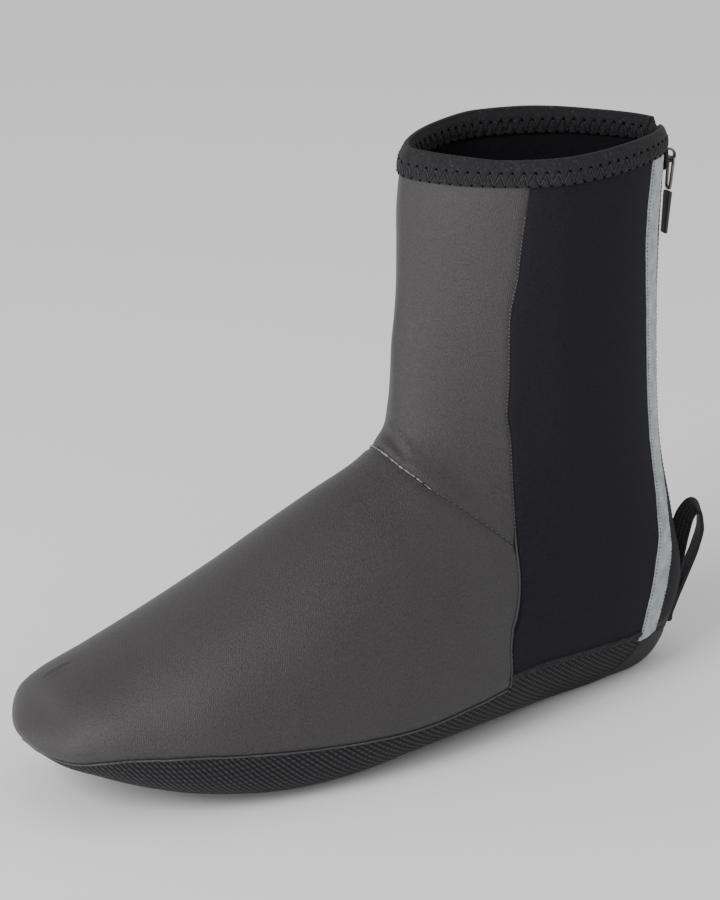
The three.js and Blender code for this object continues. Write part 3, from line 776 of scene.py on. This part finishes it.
def quarter(side, word):
    """Black panel from the zip to the side seam, down to the sole"""
    steps = np.linspace(0, 1, 61)
    tops = np.full(61, COLLAR)
    tops = cloth_top(side * (SLOT_WIDTH / 2 + (seam_arc(tops, side) - SLOT_WIDTH / 2) * steps))

    def spread(along, across):
        place = SEAM_FOOT + (np.interp(across, steps, tops) - SEAM_FOOT) * along**1.2
        low = rear_edge(place, side)
        behind = form.at(place, side * SLOT_WIDTH / 2)[:, 2] > SLOT_BOTTOM
        low = np.where(behind & (low < SLOT_WIDTH / 2), SLOT_WIDTH / 2, low)
        high = seam_arc(place, side)
        low = np.minimum(low, high)
        arc = low + (high - low) * across
        lift = rolled(high - arc) * (place > SEAM_FOOT + 0.1)
        points = form.at(place, arc * side, lift)
        return points, arc, points[:, 2]

    bm = sheet(170, 60, spread, flip=side < 0)
    finished(f"quarter_{word}", bm, ("black_jersey", "fleece"), ("upper",), solid=WALL)


def opening_shape(name, length, width, corner, x, y):
    """Rounded prism that cuts an opening through the sole"""
    bm = bmesh.new()
    bmesh.ops.create_cube(bm, size=1, matrix=sized((x, y, 0), (length, width, 40)))
    upright = [edge for edge in bm.edges if abs(edge.verts[0].co.z - edge.verts[1].co.z) > 1]
    round_edges(bm, upright, corner, 10)
    return from_mm(name, bm)


# Points all over the underside, with the places in rows
under_sole = form.surface(*np.meshgrid(np.linspace(2, 12, 201), np.radians(np.linspace(-80, 80, 161)),
                                       indexing="ij"))


def under_height(x, y):
    """Height of the middle of the sole cloth over a spot on the floor"""
    away = (under_sole[..., 0] - x) ** 2 + (under_sole[..., 1] - y) ** 2
    nearest = np.unravel_index(np.argmin(away), away.shape)
    return under_sole[nearest][2] + SOLE_WALL / 2


def opening_edge(name, length, width, corner, x, y):
    """Rolled edge round an opening of the sole"""
    turn = np.linspace(0, tau, 97)[:-1]
    reach_x = length / 2 - corner
    reach_y = width / 2 - corner
    path_x = x + np.clip(np.cos(turn) * 9, -1, 1) * reach_x + corner * np.cos(turn)
    path_y = y + np.clip(np.sin(turn) * 9, -1, 1) * reach_y + corner * np.sin(turn)
    heights = [under_height(*spot) for spot in zip(path_x, path_y)]
    path = np.stack([path_x, path_y, np.array(heights)], axis=1)
    bm = tube(path, 0.95, sides=8, closed=True, twist=0.1, turns=60)
    finished(name, bm, ("rolled_black",))


def sole():
    """Ribbed sole, turned up round the foot, with its two openings cut through"""
    last = form.places[np.nonzero(rear_left > 0)[0][-1]]
    first = form.places[np.nonzero(front_left > 0)[0][0]]

    def edge(place, side):
        return np.where(place < SEAM_FOOT, front_edge(place, side), rear_edge(place, side))

    def spread(along, across):
        place = first + (last - first) * along
        low = -edge(place, -1)
        high = edge(place, 1)
        arc = low + (high - low) * across
        points = form.at(place, arc)
        return points, points[:, 0], np.abs(arc)

    bm = sheet(220, 90, spread)
    piece = finished("sole_cloth", bm, ("ribbed_black", "bound_black"), ("sole",),
                     solid=SOLE_WALL)
    shapes = [opening_shape("cleat_shape", *CLEAT_OPENING), opening_shape("heel_shape", *HEEL_OPENING)]
    for shape in shapes:
        cut = piece.modifiers.new("opening", "BOOLEAN")
        cut.operation = "DIFFERENCE"
        cut.solver = "EXACT"
        cut.object = shape
    bpy.context.view_layer.update()
    ready = bpy.data.meshes.new_from_object(piece.evaluated_get(bpy.context.evaluated_depsgraph_get()))
    piece.modifiers.clear()
    piece.data = ready
    for shape in shapes:
        bpy.data.objects.remove(shape)
    opening_edge("cleat_edge", *CLEAT_OPENING)
    opening_edge("heel_edge", *HEEL_OPENING)


# Cover stitch of the binding: pitch, height of its zigzag and start above the lower edge
STITCH_PITCH = 4.2
STITCH_HEIGHT = 4.9
STITCH_FOOT = 0.55

# Binding: share of each face that rolls over the rim, and the groove that the stitch presses in
ROLLED_SHARE = 0.2
GROOVE_OUTSIDE = 0.6
GROOVE_INSIDE = 1.1
GROOVE_REACH = 0.55


def binding_foot(arc):
    """Height of the lower edge of the binding"""
    sag = COLLAR_HEIGHT - rim_height(arc)
    return COLLAR_HEIGHT - BINDING_HEIGHT + 0.8 - 0.75 * np.maximum(sag - 1.2, 0)


def zigzag_height(arc):
    """Height of the cover stitch above the lower edge of the binding"""
    return STITCH_FOOT + STITCH_HEIGHT * np.abs((arc / STITCH_PITCH) % 1 - 0.5) * 2


def stitch_line(inside, arc):
    """Points of the cover stitch on one face of the binding"""
    above = zigzag_height(arc)
    foot = binding_foot(arc)
    away = binding_away(above / (rim_height(arc) - foot)) - (0.35 if inside else 0.1)
    lift = -WALL / 2 - away if inside else -WALL / 2 + away
    return round_collar(arc, lift, foot + above)


def zigzag(inside):
    """Thread of the cover stitch on one face of the binding, with blobs of painted shade in its needle holes
    """
    split = CHAIN_WIDTH / 2 + 2
    arc = np.linspace(split, COLLAR_GIRTH - split, int((COLLAR_GIRTH - 2 * split) / STITCH_PITCH) * 12)
    word = "inside" if inside else "outside"
    thread = tube(stitch_line(inside, arc), 0.22, sides=5)
    finished(f"binding_stitch_{word}", thread, ("black_thread",))
    # Near-black blobs at the ends of the zigzag paint the shade inside the needle holes
    bm = bmesh.new()
    for end in range(int(2 * split / STITCH_PITCH) + 1, int(2 * (COLLAR_GIRTH - split) / STITCH_PITCH)):
        spot = np.array([end * STITCH_PITCH / 2])
        centre = stitch_line(inside, spot)[0]
        facing = Vector(form.normal(COLLAR - 0.2, form.angle(COLLAR, spot))[0]) * (-1 if inside else 1)
        turn = facing.to_track_quat("Z", "Y").to_matrix().to_4x4()
        size = (0.38, 0.62, 0.4) if end % 2 else (0.5, 0.5, 0.4)
        bmesh.ops.create_icosphere(bm, subdivisions=1, radius=1, matrix=sized(centre, size, turn))
    finished(f"needle_hole_shade_{word}", bm, ("needle_shade_dark",))


def zigzag_distance(arc, above):
    """Distance of a point of the binding from the cover stitch"""
    half = STITCH_PITCH / 2
    run = np.abs((arc / STITCH_PITCH) % 1 - 0.5) * STITCH_PITCH
    rise = np.clip(above - STITCH_FOOT, 0, STITCH_HEIGHT)
    beyond = above - STITCH_FOOT - rise
    aside = (run * STITCH_HEIGHT - rise * half) / np.hypot(STITCH_HEIGHT, half)
    return np.hypot(aside, beyond)


def binding_away(rise):
    """Distance of the face of the binding from the middle of the wall, by its share of the height"""
    return np.interp(rise, (0, 0.05, 0.3, 0.6, 0.85, 1), (2.2, 2.62, 2.75, 2.6, 1.9, 1.15))


def binding():
    """Binding folded over the rim: out and up one face, over the roll and down the other"""
    split = CHAIN_WIDTH / 2 + 0.8

    def spread(along, across):
        arc = split + (COLLAR_GIRTH - 2 * split) * along
        across = np.clip((across - 0.03) / 0.94, 0, 1)
        share = np.where(across < 0.5, across, 1 - across) * 2
        inner = across > 0.5
        shut = (across <= 0) | (across >= 1)
        rise = np.clip(share / (1 - ROLLED_SHARE), 0, 1)
        turn = np.clip((share - (1 - ROLLED_SHARE)) / ROLLED_SHARE, 0, 1) * pi / 2
        rim = rim_height(arc)
        foot = binding_foot(arc)
        above = rise * (rim - foot)
        hole = np.abs((arc / STITCH_PITCH) % 1 - 0.5) * 2
        pulled = 0.4 * np.exp(-((hole / 0.3) ** 2)) * np.exp(-above / 0.8)
        away = binding_away(rise)
        depth = np.where(inner, GROOVE_INSIDE, GROOVE_OUTSIDE)
        groove = depth * np.exp(-((zigzag_distance(arc, above) / GROOVE_REACH) ** 2))
        puff = np.where(inner, 0.5, 0.3) * np.clip(1 - np.abs(above - 3) / 3, 0, 1)
        out = (away + puff - groove) * np.cos(turn)
        height = foot + above + pulled + binding_away(1) * np.sin(turn)
        lift = np.where(inner, -WALL / 2 - out, -WALL / 2 + out)
        lift = np.where(shut, -WALL / 2, lift)
        points = round_collar(arc, lift, height)
        return points, arc, across * 2 * BINDING_HEIGHT

    bm = sheet(660, 60, spread)
    bmesh.ops.holes_fill(bm, edges=bm.edges, sides=80)
    bmesh.ops.recalc_face_normals(bm, faces=bm.faces)
    finished("collar_band", bm, ("bound_black",), ("collar_binding",))


def tube(path, radius, sides=6, closed=False, twist=0.0, turns=0.0):
    """Round bar along a path of points in millimetres. A twist swells it in a spiral, as a share of
    its radius, with so many turns."""
    path = np.asarray(path, float)
    count = len(path)
    before = np.roll(path, 1, axis=0)
    after = np.roll(path, -1, axis=0)
    if not closed:
        before[0] = path[0]
        after[-1] = path[-1]
    forward = after - before
    forward /= np.linalg.norm(forward, axis=1, keepdims=True)
    across = np.cross(forward, (0.0, 0.0, 1.0))
    short = np.linalg.norm(across, axis=1) < 0.1
    across[short] = np.cross(forward[short], (0.0, 1.0, 0.0))
    across /= np.linalg.norm(across, axis=1, keepdims=True)
    upward = np.cross(across, forward)
    radii = np.broadcast_to(radius, (count,))

    def spread(along, around):
        place = along * (count if closed else count - 1)
        index = np.floor(place + 1e-6).astype(int)
        index = index % count if closed else np.minimum(index, count - 1)
        angle = around * tau
        swell = 1 + twist * np.sin(2 * angle - tau * turns * along)
        reach = (radii[index] * swell)[:, None]
        points = (path[index] + across[index] * (np.cos(angle)[:, None] * reach)
                  + upward[index] * (np.sin(angle)[:, None] * reach))
        return points, along * count, around

    bm = sheet(count if closed else count - 1, sides, spread)
    if not closed:
        bmesh.ops.holes_fill(bm, edges=bm.edges, sides=sides + 1)
    bmesh.ops.recalc_face_normals(bm, faces=bm.faces)
    return bm


def bead(name, places, arcs, radius, finish, lift=0.0, slot="coated_grey", **shape):
    """Thin raised line of cloth or thread along the form"""
    path = form.at(places, arcs, lift)
    finished(name, tube(path, radius, sides=8, **shape), (finish,))


def stitches(name, places, arcs, pitch, size, finish, lift=0.0, skew=0.0):
    """Short stitches along a line on the form: size is length, width and height"""
    path = form.at(places, arcs, lift)
    run = np.concatenate([[0], np.cumsum(np.linalg.norm(np.diff(path, axis=0), axis=1))])
    spots = np.arange(pitch / 2, run[-1], pitch)
    at_place = np.interp(spots, run, places)
    at_arc = np.interp(spots, run, arcs)
    centres = form.at(at_place, at_arc, lift)
    outwards = form.normal(at_place, form.angle(at_place, at_arc))
    ahead = np.stack([np.interp(spots + 0.2, run, path[:, axis]) - np.interp(spots - 0.2, run, path[:, axis])
                      for axis in range(3)], axis=1)
    half = [measure / 2 for measure in size]
    bm = bmesh.new()
    for centre, facing, forward in zip(centres, outwards, ahead):
        z = Vector(facing).normalized()
        x = (Vector(forward) - z * z.dot(Vector(forward))).normalized()
        x = Matrix.Rotation(skew, 3, z) @ x
        turn = Matrix((x, z.cross(x), z)).transposed().to_4x4()
        bmesh.ops.create_icosphere(bm, subdivisions=1, radius=1, matrix=sized(centre, half, turn))
    finished(name, bm, (finish,))


def seam_beads():
    """Piping, threads and rolled edges along the seams of both sides"""
    for side, word in SIDES:
        places = np.linspace(SEAM_FOOT, 10.2, 90)
        radii = np.interp(places, (8.2, 9.7, 10.2), (0.52, 0.48, 0.2))
        bead(f"side_piping_{word}", places, side * (seam_arc(places, side) + 0.7), radii, "grey_seam", -0.35,
             twist=0.3, turns=50)
        places = np.linspace(9.6, form.collar - 0.75, 160)
        stitches(f"side_thread_{word}", places, side * (seam_arc(places, side) + 0.55), 1.5,
                 (1.0, 0.42, 0.42), "grey_thread", lift=-0.32, skew=0.5)
        places = np.linspace(0.35, SEAM_FOOT, 190)
        bead(f"vamp_piping_{word}", places, side * (front_edge(places, side) + 0.45), 0.45, "grey_seam", -0.2,
             twist=0.12, turns=120)
        stitches(f"vamp_thread_{word}", places, side * (front_edge(places, side) - 0.25), 2.1,
                 (1.1, 0.5, 0.5), "rolled_black", lift=-0.05, skew=0.6)
        places = np.linspace(SEAM_FOOT, 11.35, 260)
        arcs = rear_edge(places, side)
        strip = np.where(places > 10.75, strip_edge(places) - 0.4, 0)
        seen = (arcs > strip) & (arcs < seam_arc(places, side) + 0.4)
        bead(f"rand_roll_{word}", places[seen], side * (arcs[seen] + 0.2), 1.15, "rolled_black", -0.1,
             slot="ribbed_black", twist=0.34, turns=70)


def instep_weld():
    """Welded line over the instep, which runs out into thread towards the side seams"""
    places, angles = instep_line(400)
    arcs = form.arc(places, angles)
    turn = np.degrees(angles)
    middle = (turn > 143) & (turn < 217)
    count = int(middle.sum())
    run = np.linspace(0, 1, count)
    lumps = 1 + 0.22 * np.sin(run * 83) + 0.16 * np.sin(run * 197 + 1)
    radii = 0.4 * np.sin(pi * np.clip(run, 0.02, 0.98)) ** 0.3 * lumps
    bead("instep_weld", places[middle], arcs[middle], radii, "welded_grey", -0.42)
    for word, (start, end) in (("left", (107, 143)), ("right", (217, 253))):
        part = (turn > start) & (turn < end)
        stitches(f"instep_thread_{word}", places[part], arcs[part], 2.6, (1.2, 0.36, 0.34), "grey_thread",
                 lift=-0.5)


def band(name, side, start, width, lift, thick, low, high, finish, nodes):
    """Band up the back between two distances from the centre line"""
    def spread(along, across):
        place = low + (high - low) * along
        arc = side * (start + width * across)
        edge = np.minimum(across, 1 - across) * width
        points = form.at(place, arc, lift - 0.35 * np.exp(-((edge / 0.7) ** 2)))
        return points, arc, points[:, 2]

    bm = sheet(160, 8, spread, flip=side < 0)
    finished(name, bm, (finish,), nodes, solid=thick)


def place_at_height(height):
    """Section whose back point lies at a height"""
    places = np.linspace(len(FOOT_SECTIONS) + 1, form.collar, 400)
    return float(np.interp(height, form.surface(places, np.zeros(400))[:, 2], places))


def strip_edge(place):
    return STRIP_WIDTH * smooth_line(STRIP_LINE, place)


# Sections at which the outer and the inner edge of a strip end, and how far its threads lie from its edges
STRIP_FOOT = (10.83, 11.2)
STRIP_HEM = 0.9


def silver_strip(side, word):
    """Reflective strip with a line of thread along each edge"""
    top = place_at_height(COLLAR_HEIGHT - BINDING_HEIGHT - 0.6)

    def spread(along, across):
        low = STRIP_FOOT[0] + (STRIP_FOOT[1] - STRIP_FOOT[0]) * across
        place = low + (top - low) * along
        arc = strip_edge(place) - STRIP_WIDTH * across
        edge = np.minimum(across, 1 - across) * STRIP_WIDTH
        pucker = 0.12 * np.sin(arc * 0.9 + place * 31) * np.sin(place * 47)
        lift = 0.5 + pucker - 0.3 * np.exp(-((edge / 0.6) ** 2))
        points = form.at(place, side * arc, lift)
        return points, points[:, 2], arc

    bm = sheet(300, 16, spread, flip=side > 0)
    finished(f"silver_strip_{word}", bm, ("reflective_tape",), (f"reflective_strip_{word}",),
             solid=0.6)
    places = np.linspace(STRIP_FOOT[0] + 0.06, top, 300)
    for inset, edge, start in ((STRIP_HEM, "outer", 0), (STRIP_WIDTH - STRIP_HEM, "inner", 18)):
        sewn = places[start:]
        stitches(f"strip_thread_{edge}_{word}", sewn, side * (strip_edge(sewn) - inset), 1.5,
                 (0.75, 0.55, 0.4), "black_thread", lift=0.48)


def strips_and_tapes():
    """Strips, zip tapes and the thread beside the slot, on both sides"""
    tape_bottom = place_at_height(SLOT_BOTTOM + 0.3)
    for side, word in SIDES:
        silver_strip(side, word)
        band(f"zip_cloth_{word}", side, CHAIN_WIDTH / 2 - 0.6, SLOT_WIDTH / 2 - CHAIN_WIDTH / 2 + 1.6, -0.9,
             0.8, tape_bottom, place_at_height(COLLAR_HEIGHT - 5.5), "zip_tape_cloth",
             (f"zip_tape_{word}",))
        places = np.linspace(tape_bottom + 0.05, 16.8, 200)
        stitches(f"slot_thread_{word}", places, np.full(200, side * (SLOT_WIDTH / 2 + 1.2)), 1.9,
                 (1.2, 0.35, 0.3), "black_thread", lift=0.02)


def zip_teeth():
    """Teeth of both chains, one above the other"""
    bm = bmesh.new()
    for index, height in enumerate(np.arange(SLOT_BOTTOM + 1, COLLAR_HEIGHT - 7, TOOTH_PITCH)):
        place = place_at_height(height)
        spot = form.at(place, 0.75 if index % 2 else -0.75, -0.55)
        outwards = Vector(form.normal(place, 0.0))
        across = Vector((0, 1, 0))
        turn = Matrix((outwards, across, across.cross(outwards))).transposed().to_4x4()
        bmesh.ops.create_cube(bm, size=1, matrix=sized(spot, (1.6, 2.9, TOOTH_PITCH * 0.8), turn))
    round_edges(bm, bm.edges, 0.22, 1)
    bmesh.ops.recalc_face_normals(bm, faces=bm.faces)
    finished("zip_teeth", bm, ("moulded_grey",), ("zip_chain",), smooth=False)


def tape_ends():
    """Folded ends of the zip tapes beside the top of the zip"""
    height = COLLAR_HEIGHT - 6.8
    for side, word in SIDES:
        spot = form.at(place_at_height(height - 1), side * 3.4, -0.9)
        bm = bmesh.new()
        bmesh.ops.create_icosphere(bm, subdivisions=3, radius=1,
                                   matrix=sized((spot[0], spot[1], height), (2.3, 2.1, 3.4)))
        finished(f"tape_end_{word}", bm, ("zip_tape_cloth",))


def in_mm(corner):
    return Vector(corner) / MM


def slider():
    """Plate of the slider with the crown that holds the pull"""
    low, high = (in_mm(corner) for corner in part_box("zip_slider"))
    middle = (low + high) / 2
    plate_outer = high.x - 2.4
    bm = bmesh.new()
    size = (1.7, high.y - low.y, high.z - low.z)
    bmesh.ops.create_cube(bm, size=1, matrix=sized((plate_outer + 0.8, 0, middle.z), size))
    corners = [edge for edge in bm.edges if abs(edge.verts[0].co.x - edge.verts[1].co.x) > 0.1]
    round_edges(bm, corners, 2.2, 6)
    outer = [edge for edge in bm.edges if min(vert.co.x for vert in edge.verts) < plate_outer
             and abs(edge.verts[0].co.x - edge.verts[1].co.x) < 0.01]
    round_edges(bm, outer, 0.5, 3)
    finished("slider_plate", bm, ("dark_metal",), ("zip_slider",))
    turn = np.linspace(0, pi, 25)
    reach = plate_outer - low.x - 0.55
    rise = 3.2 - 0.55
    path = np.stack([plate_outer - reach * np.sin(turn) ** 0.6, 0 * turn, middle.z + rise * np.cos(turn)],
                    axis=1)
    crown = tube(path, 0.5, sides=12)
    bmesh.ops.scale(crown, vec=(1, 2.2, 1), verts=crown.verts)
    finished("slider_crown", crown, ("satin_metal",))


def pull():
    """Closed wire link that swings in the crown"""
    low, high = (in_mm(corner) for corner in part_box("zip_pull"))
    wire = 0.75
    top = Vector((low.x + wire, 0, high.z - wire))
    foot = Vector((high.x - wire, 0, low.z + wire))
    corners = [(top, 1.9), (foot, 1.3), (foot, -1.3), (top, -1.9)]
    path = []
    for index, (spot, side) in enumerate(corners):
        here = np.array((spot.x, side, spot.z))
        next_spot, next_side = corners[(index + 1) % 4]
        there = np.array((next_spot.x, next_side, next_spot.z))
        for share in (0.12, 0.3, 0.5, 0.7, 0.88):
            path.append(here + (there - here) * share)
    finished("pull_wire", tube(path, wire * 0.9, sides=10, closed=True), ("satin_metal",),
             ("zip_pull",), body=PULL_BODY)


def grip():
    """Moulded grip at the end of the link, narrower towards its foot"""
    low, high = (in_mm(corner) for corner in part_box("pull_grip"))
    lean = radians(7)
    bm = bmesh.new()
    bmesh.ops.create_cube(bm, size=1, matrix=sized((0, 0, 0), (1.7, 4.7, high.z - low.z - 0.3)))
    for vert in bm.verts:
        if vert.co.z < 0:
            vert.co.y *= 0.8
            vert.co.x *= 0.8
    round_edges(bm, bm.edges, 0.55, 4)
    bmesh.ops.rotate(bm, cent=(0, 0, 0), matrix=Matrix.Rotation(-lean, 3, "Y"), verts=bm.verts)
    bmesh.ops.translate(bm, vec=(low + high) / 2, verts=bm.verts)
    finished("moulded_grip", bm, ("moulded_grey",), ("pull_grip",), body=PULL_BODY)


# Course of the heel loop from the side: distance behind the heel, height, width and twist
LOOP_COURSE = (
    (-0.8, 12, 7.2, 0), (-0.2, 15, 7.4, -6), (1.2, 22, 7.6, -14), (2.6, 30, 7.8, -26), (4.4, 39, 8, -38),
    (6.6, 47.5, 8, -44), (9.6, 55, 7.6, -40), (13.2, 58, 7.2, -34), (16, 55.4, 7, -24), (16.4, 49, 7, -18),
    (13.8, 40.5, 7, -14), (8.9, 31, 7, -10), (4.1, 22.5, 7, -5), (0.4, 15.5, 7, 0), (-1.4, 12, 7, 0),
)


def heel_loop():
    """Webbing folded into a drop, with the bar where both ends are sewn down"""
    course = np.array(LOOP_COURSE, float)
    steps = np.arange(len(course))
    fine = np.linspace(0, len(course) - 1, 121)
    out, height, width, twist = (smooth_line(list(zip(steps, column)), fine) for column in course.T)
    root = form.at(place_at_height(15), 0.0)[0]
    x = root - 1.0 - out
    path = np.stack([x, 0 * x, height], axis=1)
    forward = np.gradient(path, axis=0)
    forward /= np.linalg.norm(forward, axis=1, keepdims=True)
    flat_normal = np.stack([forward[:, 2], 0 * x, -forward[:, 0]], axis=1)

    def spread(along, across):
        place = along * (len(fine) - 1)
        index = np.clip(np.round(place).astype(int), 0, len(fine) - 1)
        turn = np.radians(twist[index])
        side = (across - 0.5) * width[index]
        sideways = np.stack([0 * turn, np.cos(turn), 0 * turn], axis=1)
        points = path[index] + sideways * side[:, None] + flat_normal[index] * (np.sin(turn) * side)[:, None]
        return points, along * 100, side

    bm = sheet(120, 8, spread)
    piece = finished("loop_webbing", bm, ("webbing",), ("heel_loop",))
    bar = bmesh.new()
    bmesh.ops.create_cube(bar, size=1, matrix=sized((x[0], 0, 13.4), (3.2, 8, 2.8)))
    round_edges(bar, bar.edges, 0.9, 4)
    finished("loop_root", bar, ("webbing",))
    wall = piece.modifiers.new("wall", "SOLIDIFY")
    wall.thickness = 1.5 * MM
    wall.offset = 0
    edge = piece.modifiers.new("edge", "BEVEL")
    edge.width = 0.4 * MM
    edge.segments = 2


def heel_tape():
    """Smooth dark sheet round the bottom of the heel, painted shade where the sole turns under, which runs
    out forwards along the edge of the sole
    """
    front, front_arc, side_arc = 10.0, 21, 32

    def spread(along, across):
        side = 2 * across - 1
        top = smooth_line(((0, 11.43), (14, 11.27), (24, 11.17), (32, 10.83)), np.abs(side) * side_arc)
        place = front + (top - front) * along
        arc = (front_arc + (side_arc - front_arc) * along) * side
        edge = np.minimum((1 - along) * 14, (1 - np.abs(side)) * 28)
        lift = 0.02 + 0.36 * np.clip(edge / 0.8, 0, 1) ** 0.5 * np.clip(along * 3, 0, 1)
        points = form.at(place, arc, lift)
        points[:, 2] = np.maximum(points[:, 2], 0)
        return points, arc, points[:, 2]

    bm = sheet(70, 110, spread)
    # This dark sheet paints the shade where the ribbed sole turns under the heel
    finished("heel_shade_band", bm, ("heel_shade_black",), ("heel_tape",), solid=0.5)


# Camera: angles in degrees, distance and target in millimetres
CAMERA_AZIMUTH = 154.072
CAMERA_ELEVATION = 21.229
CAMERA_ROLL = -2.693
CAMERA_DISTANCE = 1362.335
CAMERA_TARGET = (136.878 - HEEL_SEAT, -2.1, 112.31)
CAMERA_LENS = 144


def studio():
    """Camera at the angle of the photograph"""
    camera = bpy.data.objects.new("camera", bpy.data.cameras.new("camera"))
    bpy.context.scene.collection.objects.link(camera)
    bpy.context.scene.camera = camera
    azimuth = radians(CAMERA_AZIMUTH)
    elevation = radians(CAMERA_ELEVATION)
    roll = radians(CAMERA_ROLL)
    target = Vector(CAMERA_TARGET) * MM
    back = Vector((sin(azimuth) * cos(elevation), -cos(azimuth) * cos(elevation), sin(elevation)))
    right = (-back).cross(Vector((0, 0, 1))).normalized()
    up = right.cross(-back)
    level_right = right * cos(roll) + up * sin(roll)
    level_up = up * cos(roll) - right * sin(roll)
    turn = Matrix((level_right, level_up, back)).transposed()
    camera.matrix_world = Matrix.Translation(target + back * CAMERA_DISTANCE * MM) @ turn.to_4x4()
    camera.data.sensor_width = 36
    camera.data.lens = CAMERA_LENS
    camera.data.clip_start = 0.05
    camera.data.clip_end = 20
    return target


def lamp(name, spot, target, size, power):
    light = bpy.data.lights.new(name, "AREA")
    light.shape = "RECTANGLE"
    light.size, light.size_y = size
    light.energy = power
    made = bpy.data.objects.new(name, light)
    bpy.context.scene.collection.objects.link(made)
    made.location = spot
    made.rotation_euler = (target - Vector(spot)).to_track_quat("-Z", "Y").to_euler()


def pale(shader):
    shader.finish(Base_Color=(0.97, 0.97, 0.97, 1), Roughness=0.9, Specular_IOR_Level=0.1)


def floor_and_light(target):
    bm = bmesh.new()
    bmesh.ops.create_grid(bm, x_segments=1, y_segments=1, size=12 / MM)
    floor = from_mm("floor", bm)
    floor.data.materials.append(material("pale_floor", pale))
    world = bpy.data.worlds.new("studio")
    bpy.context.scene.world = world
    world.use_nodes = True
    sky = world.node_tree.nodes["Background"]
    sky.inputs["Color"].default_value = (1, 1, 1, 1)
    sky.inputs["Strength"].default_value = 0.67
    lamp("key", (1.6, 0.5, 1.3), target, (1.0, 1.0), 25.5)
    lamp("toe_side", (1.15, 0.25, 0.14), Vector((0.2, 0, 0.03)), (0.7, 0.22), 4.5)
    lamp("back_fill", (-1.2, 0.8, 0.8), target, (0.8, 0.8), 3)


target = studio()
floor_and_light(target)
vamp()
shaft_front()
for side, word in SIDES:
    quarter(side, word)
sole()
binding()
zigzag(False)
zigzag(True)
seam_beads()
instep_weld()
strips_and_tapes()
zip_teeth()
tape_ends()
slider()
pull()
grip()
heel_loop()
heel_tape()
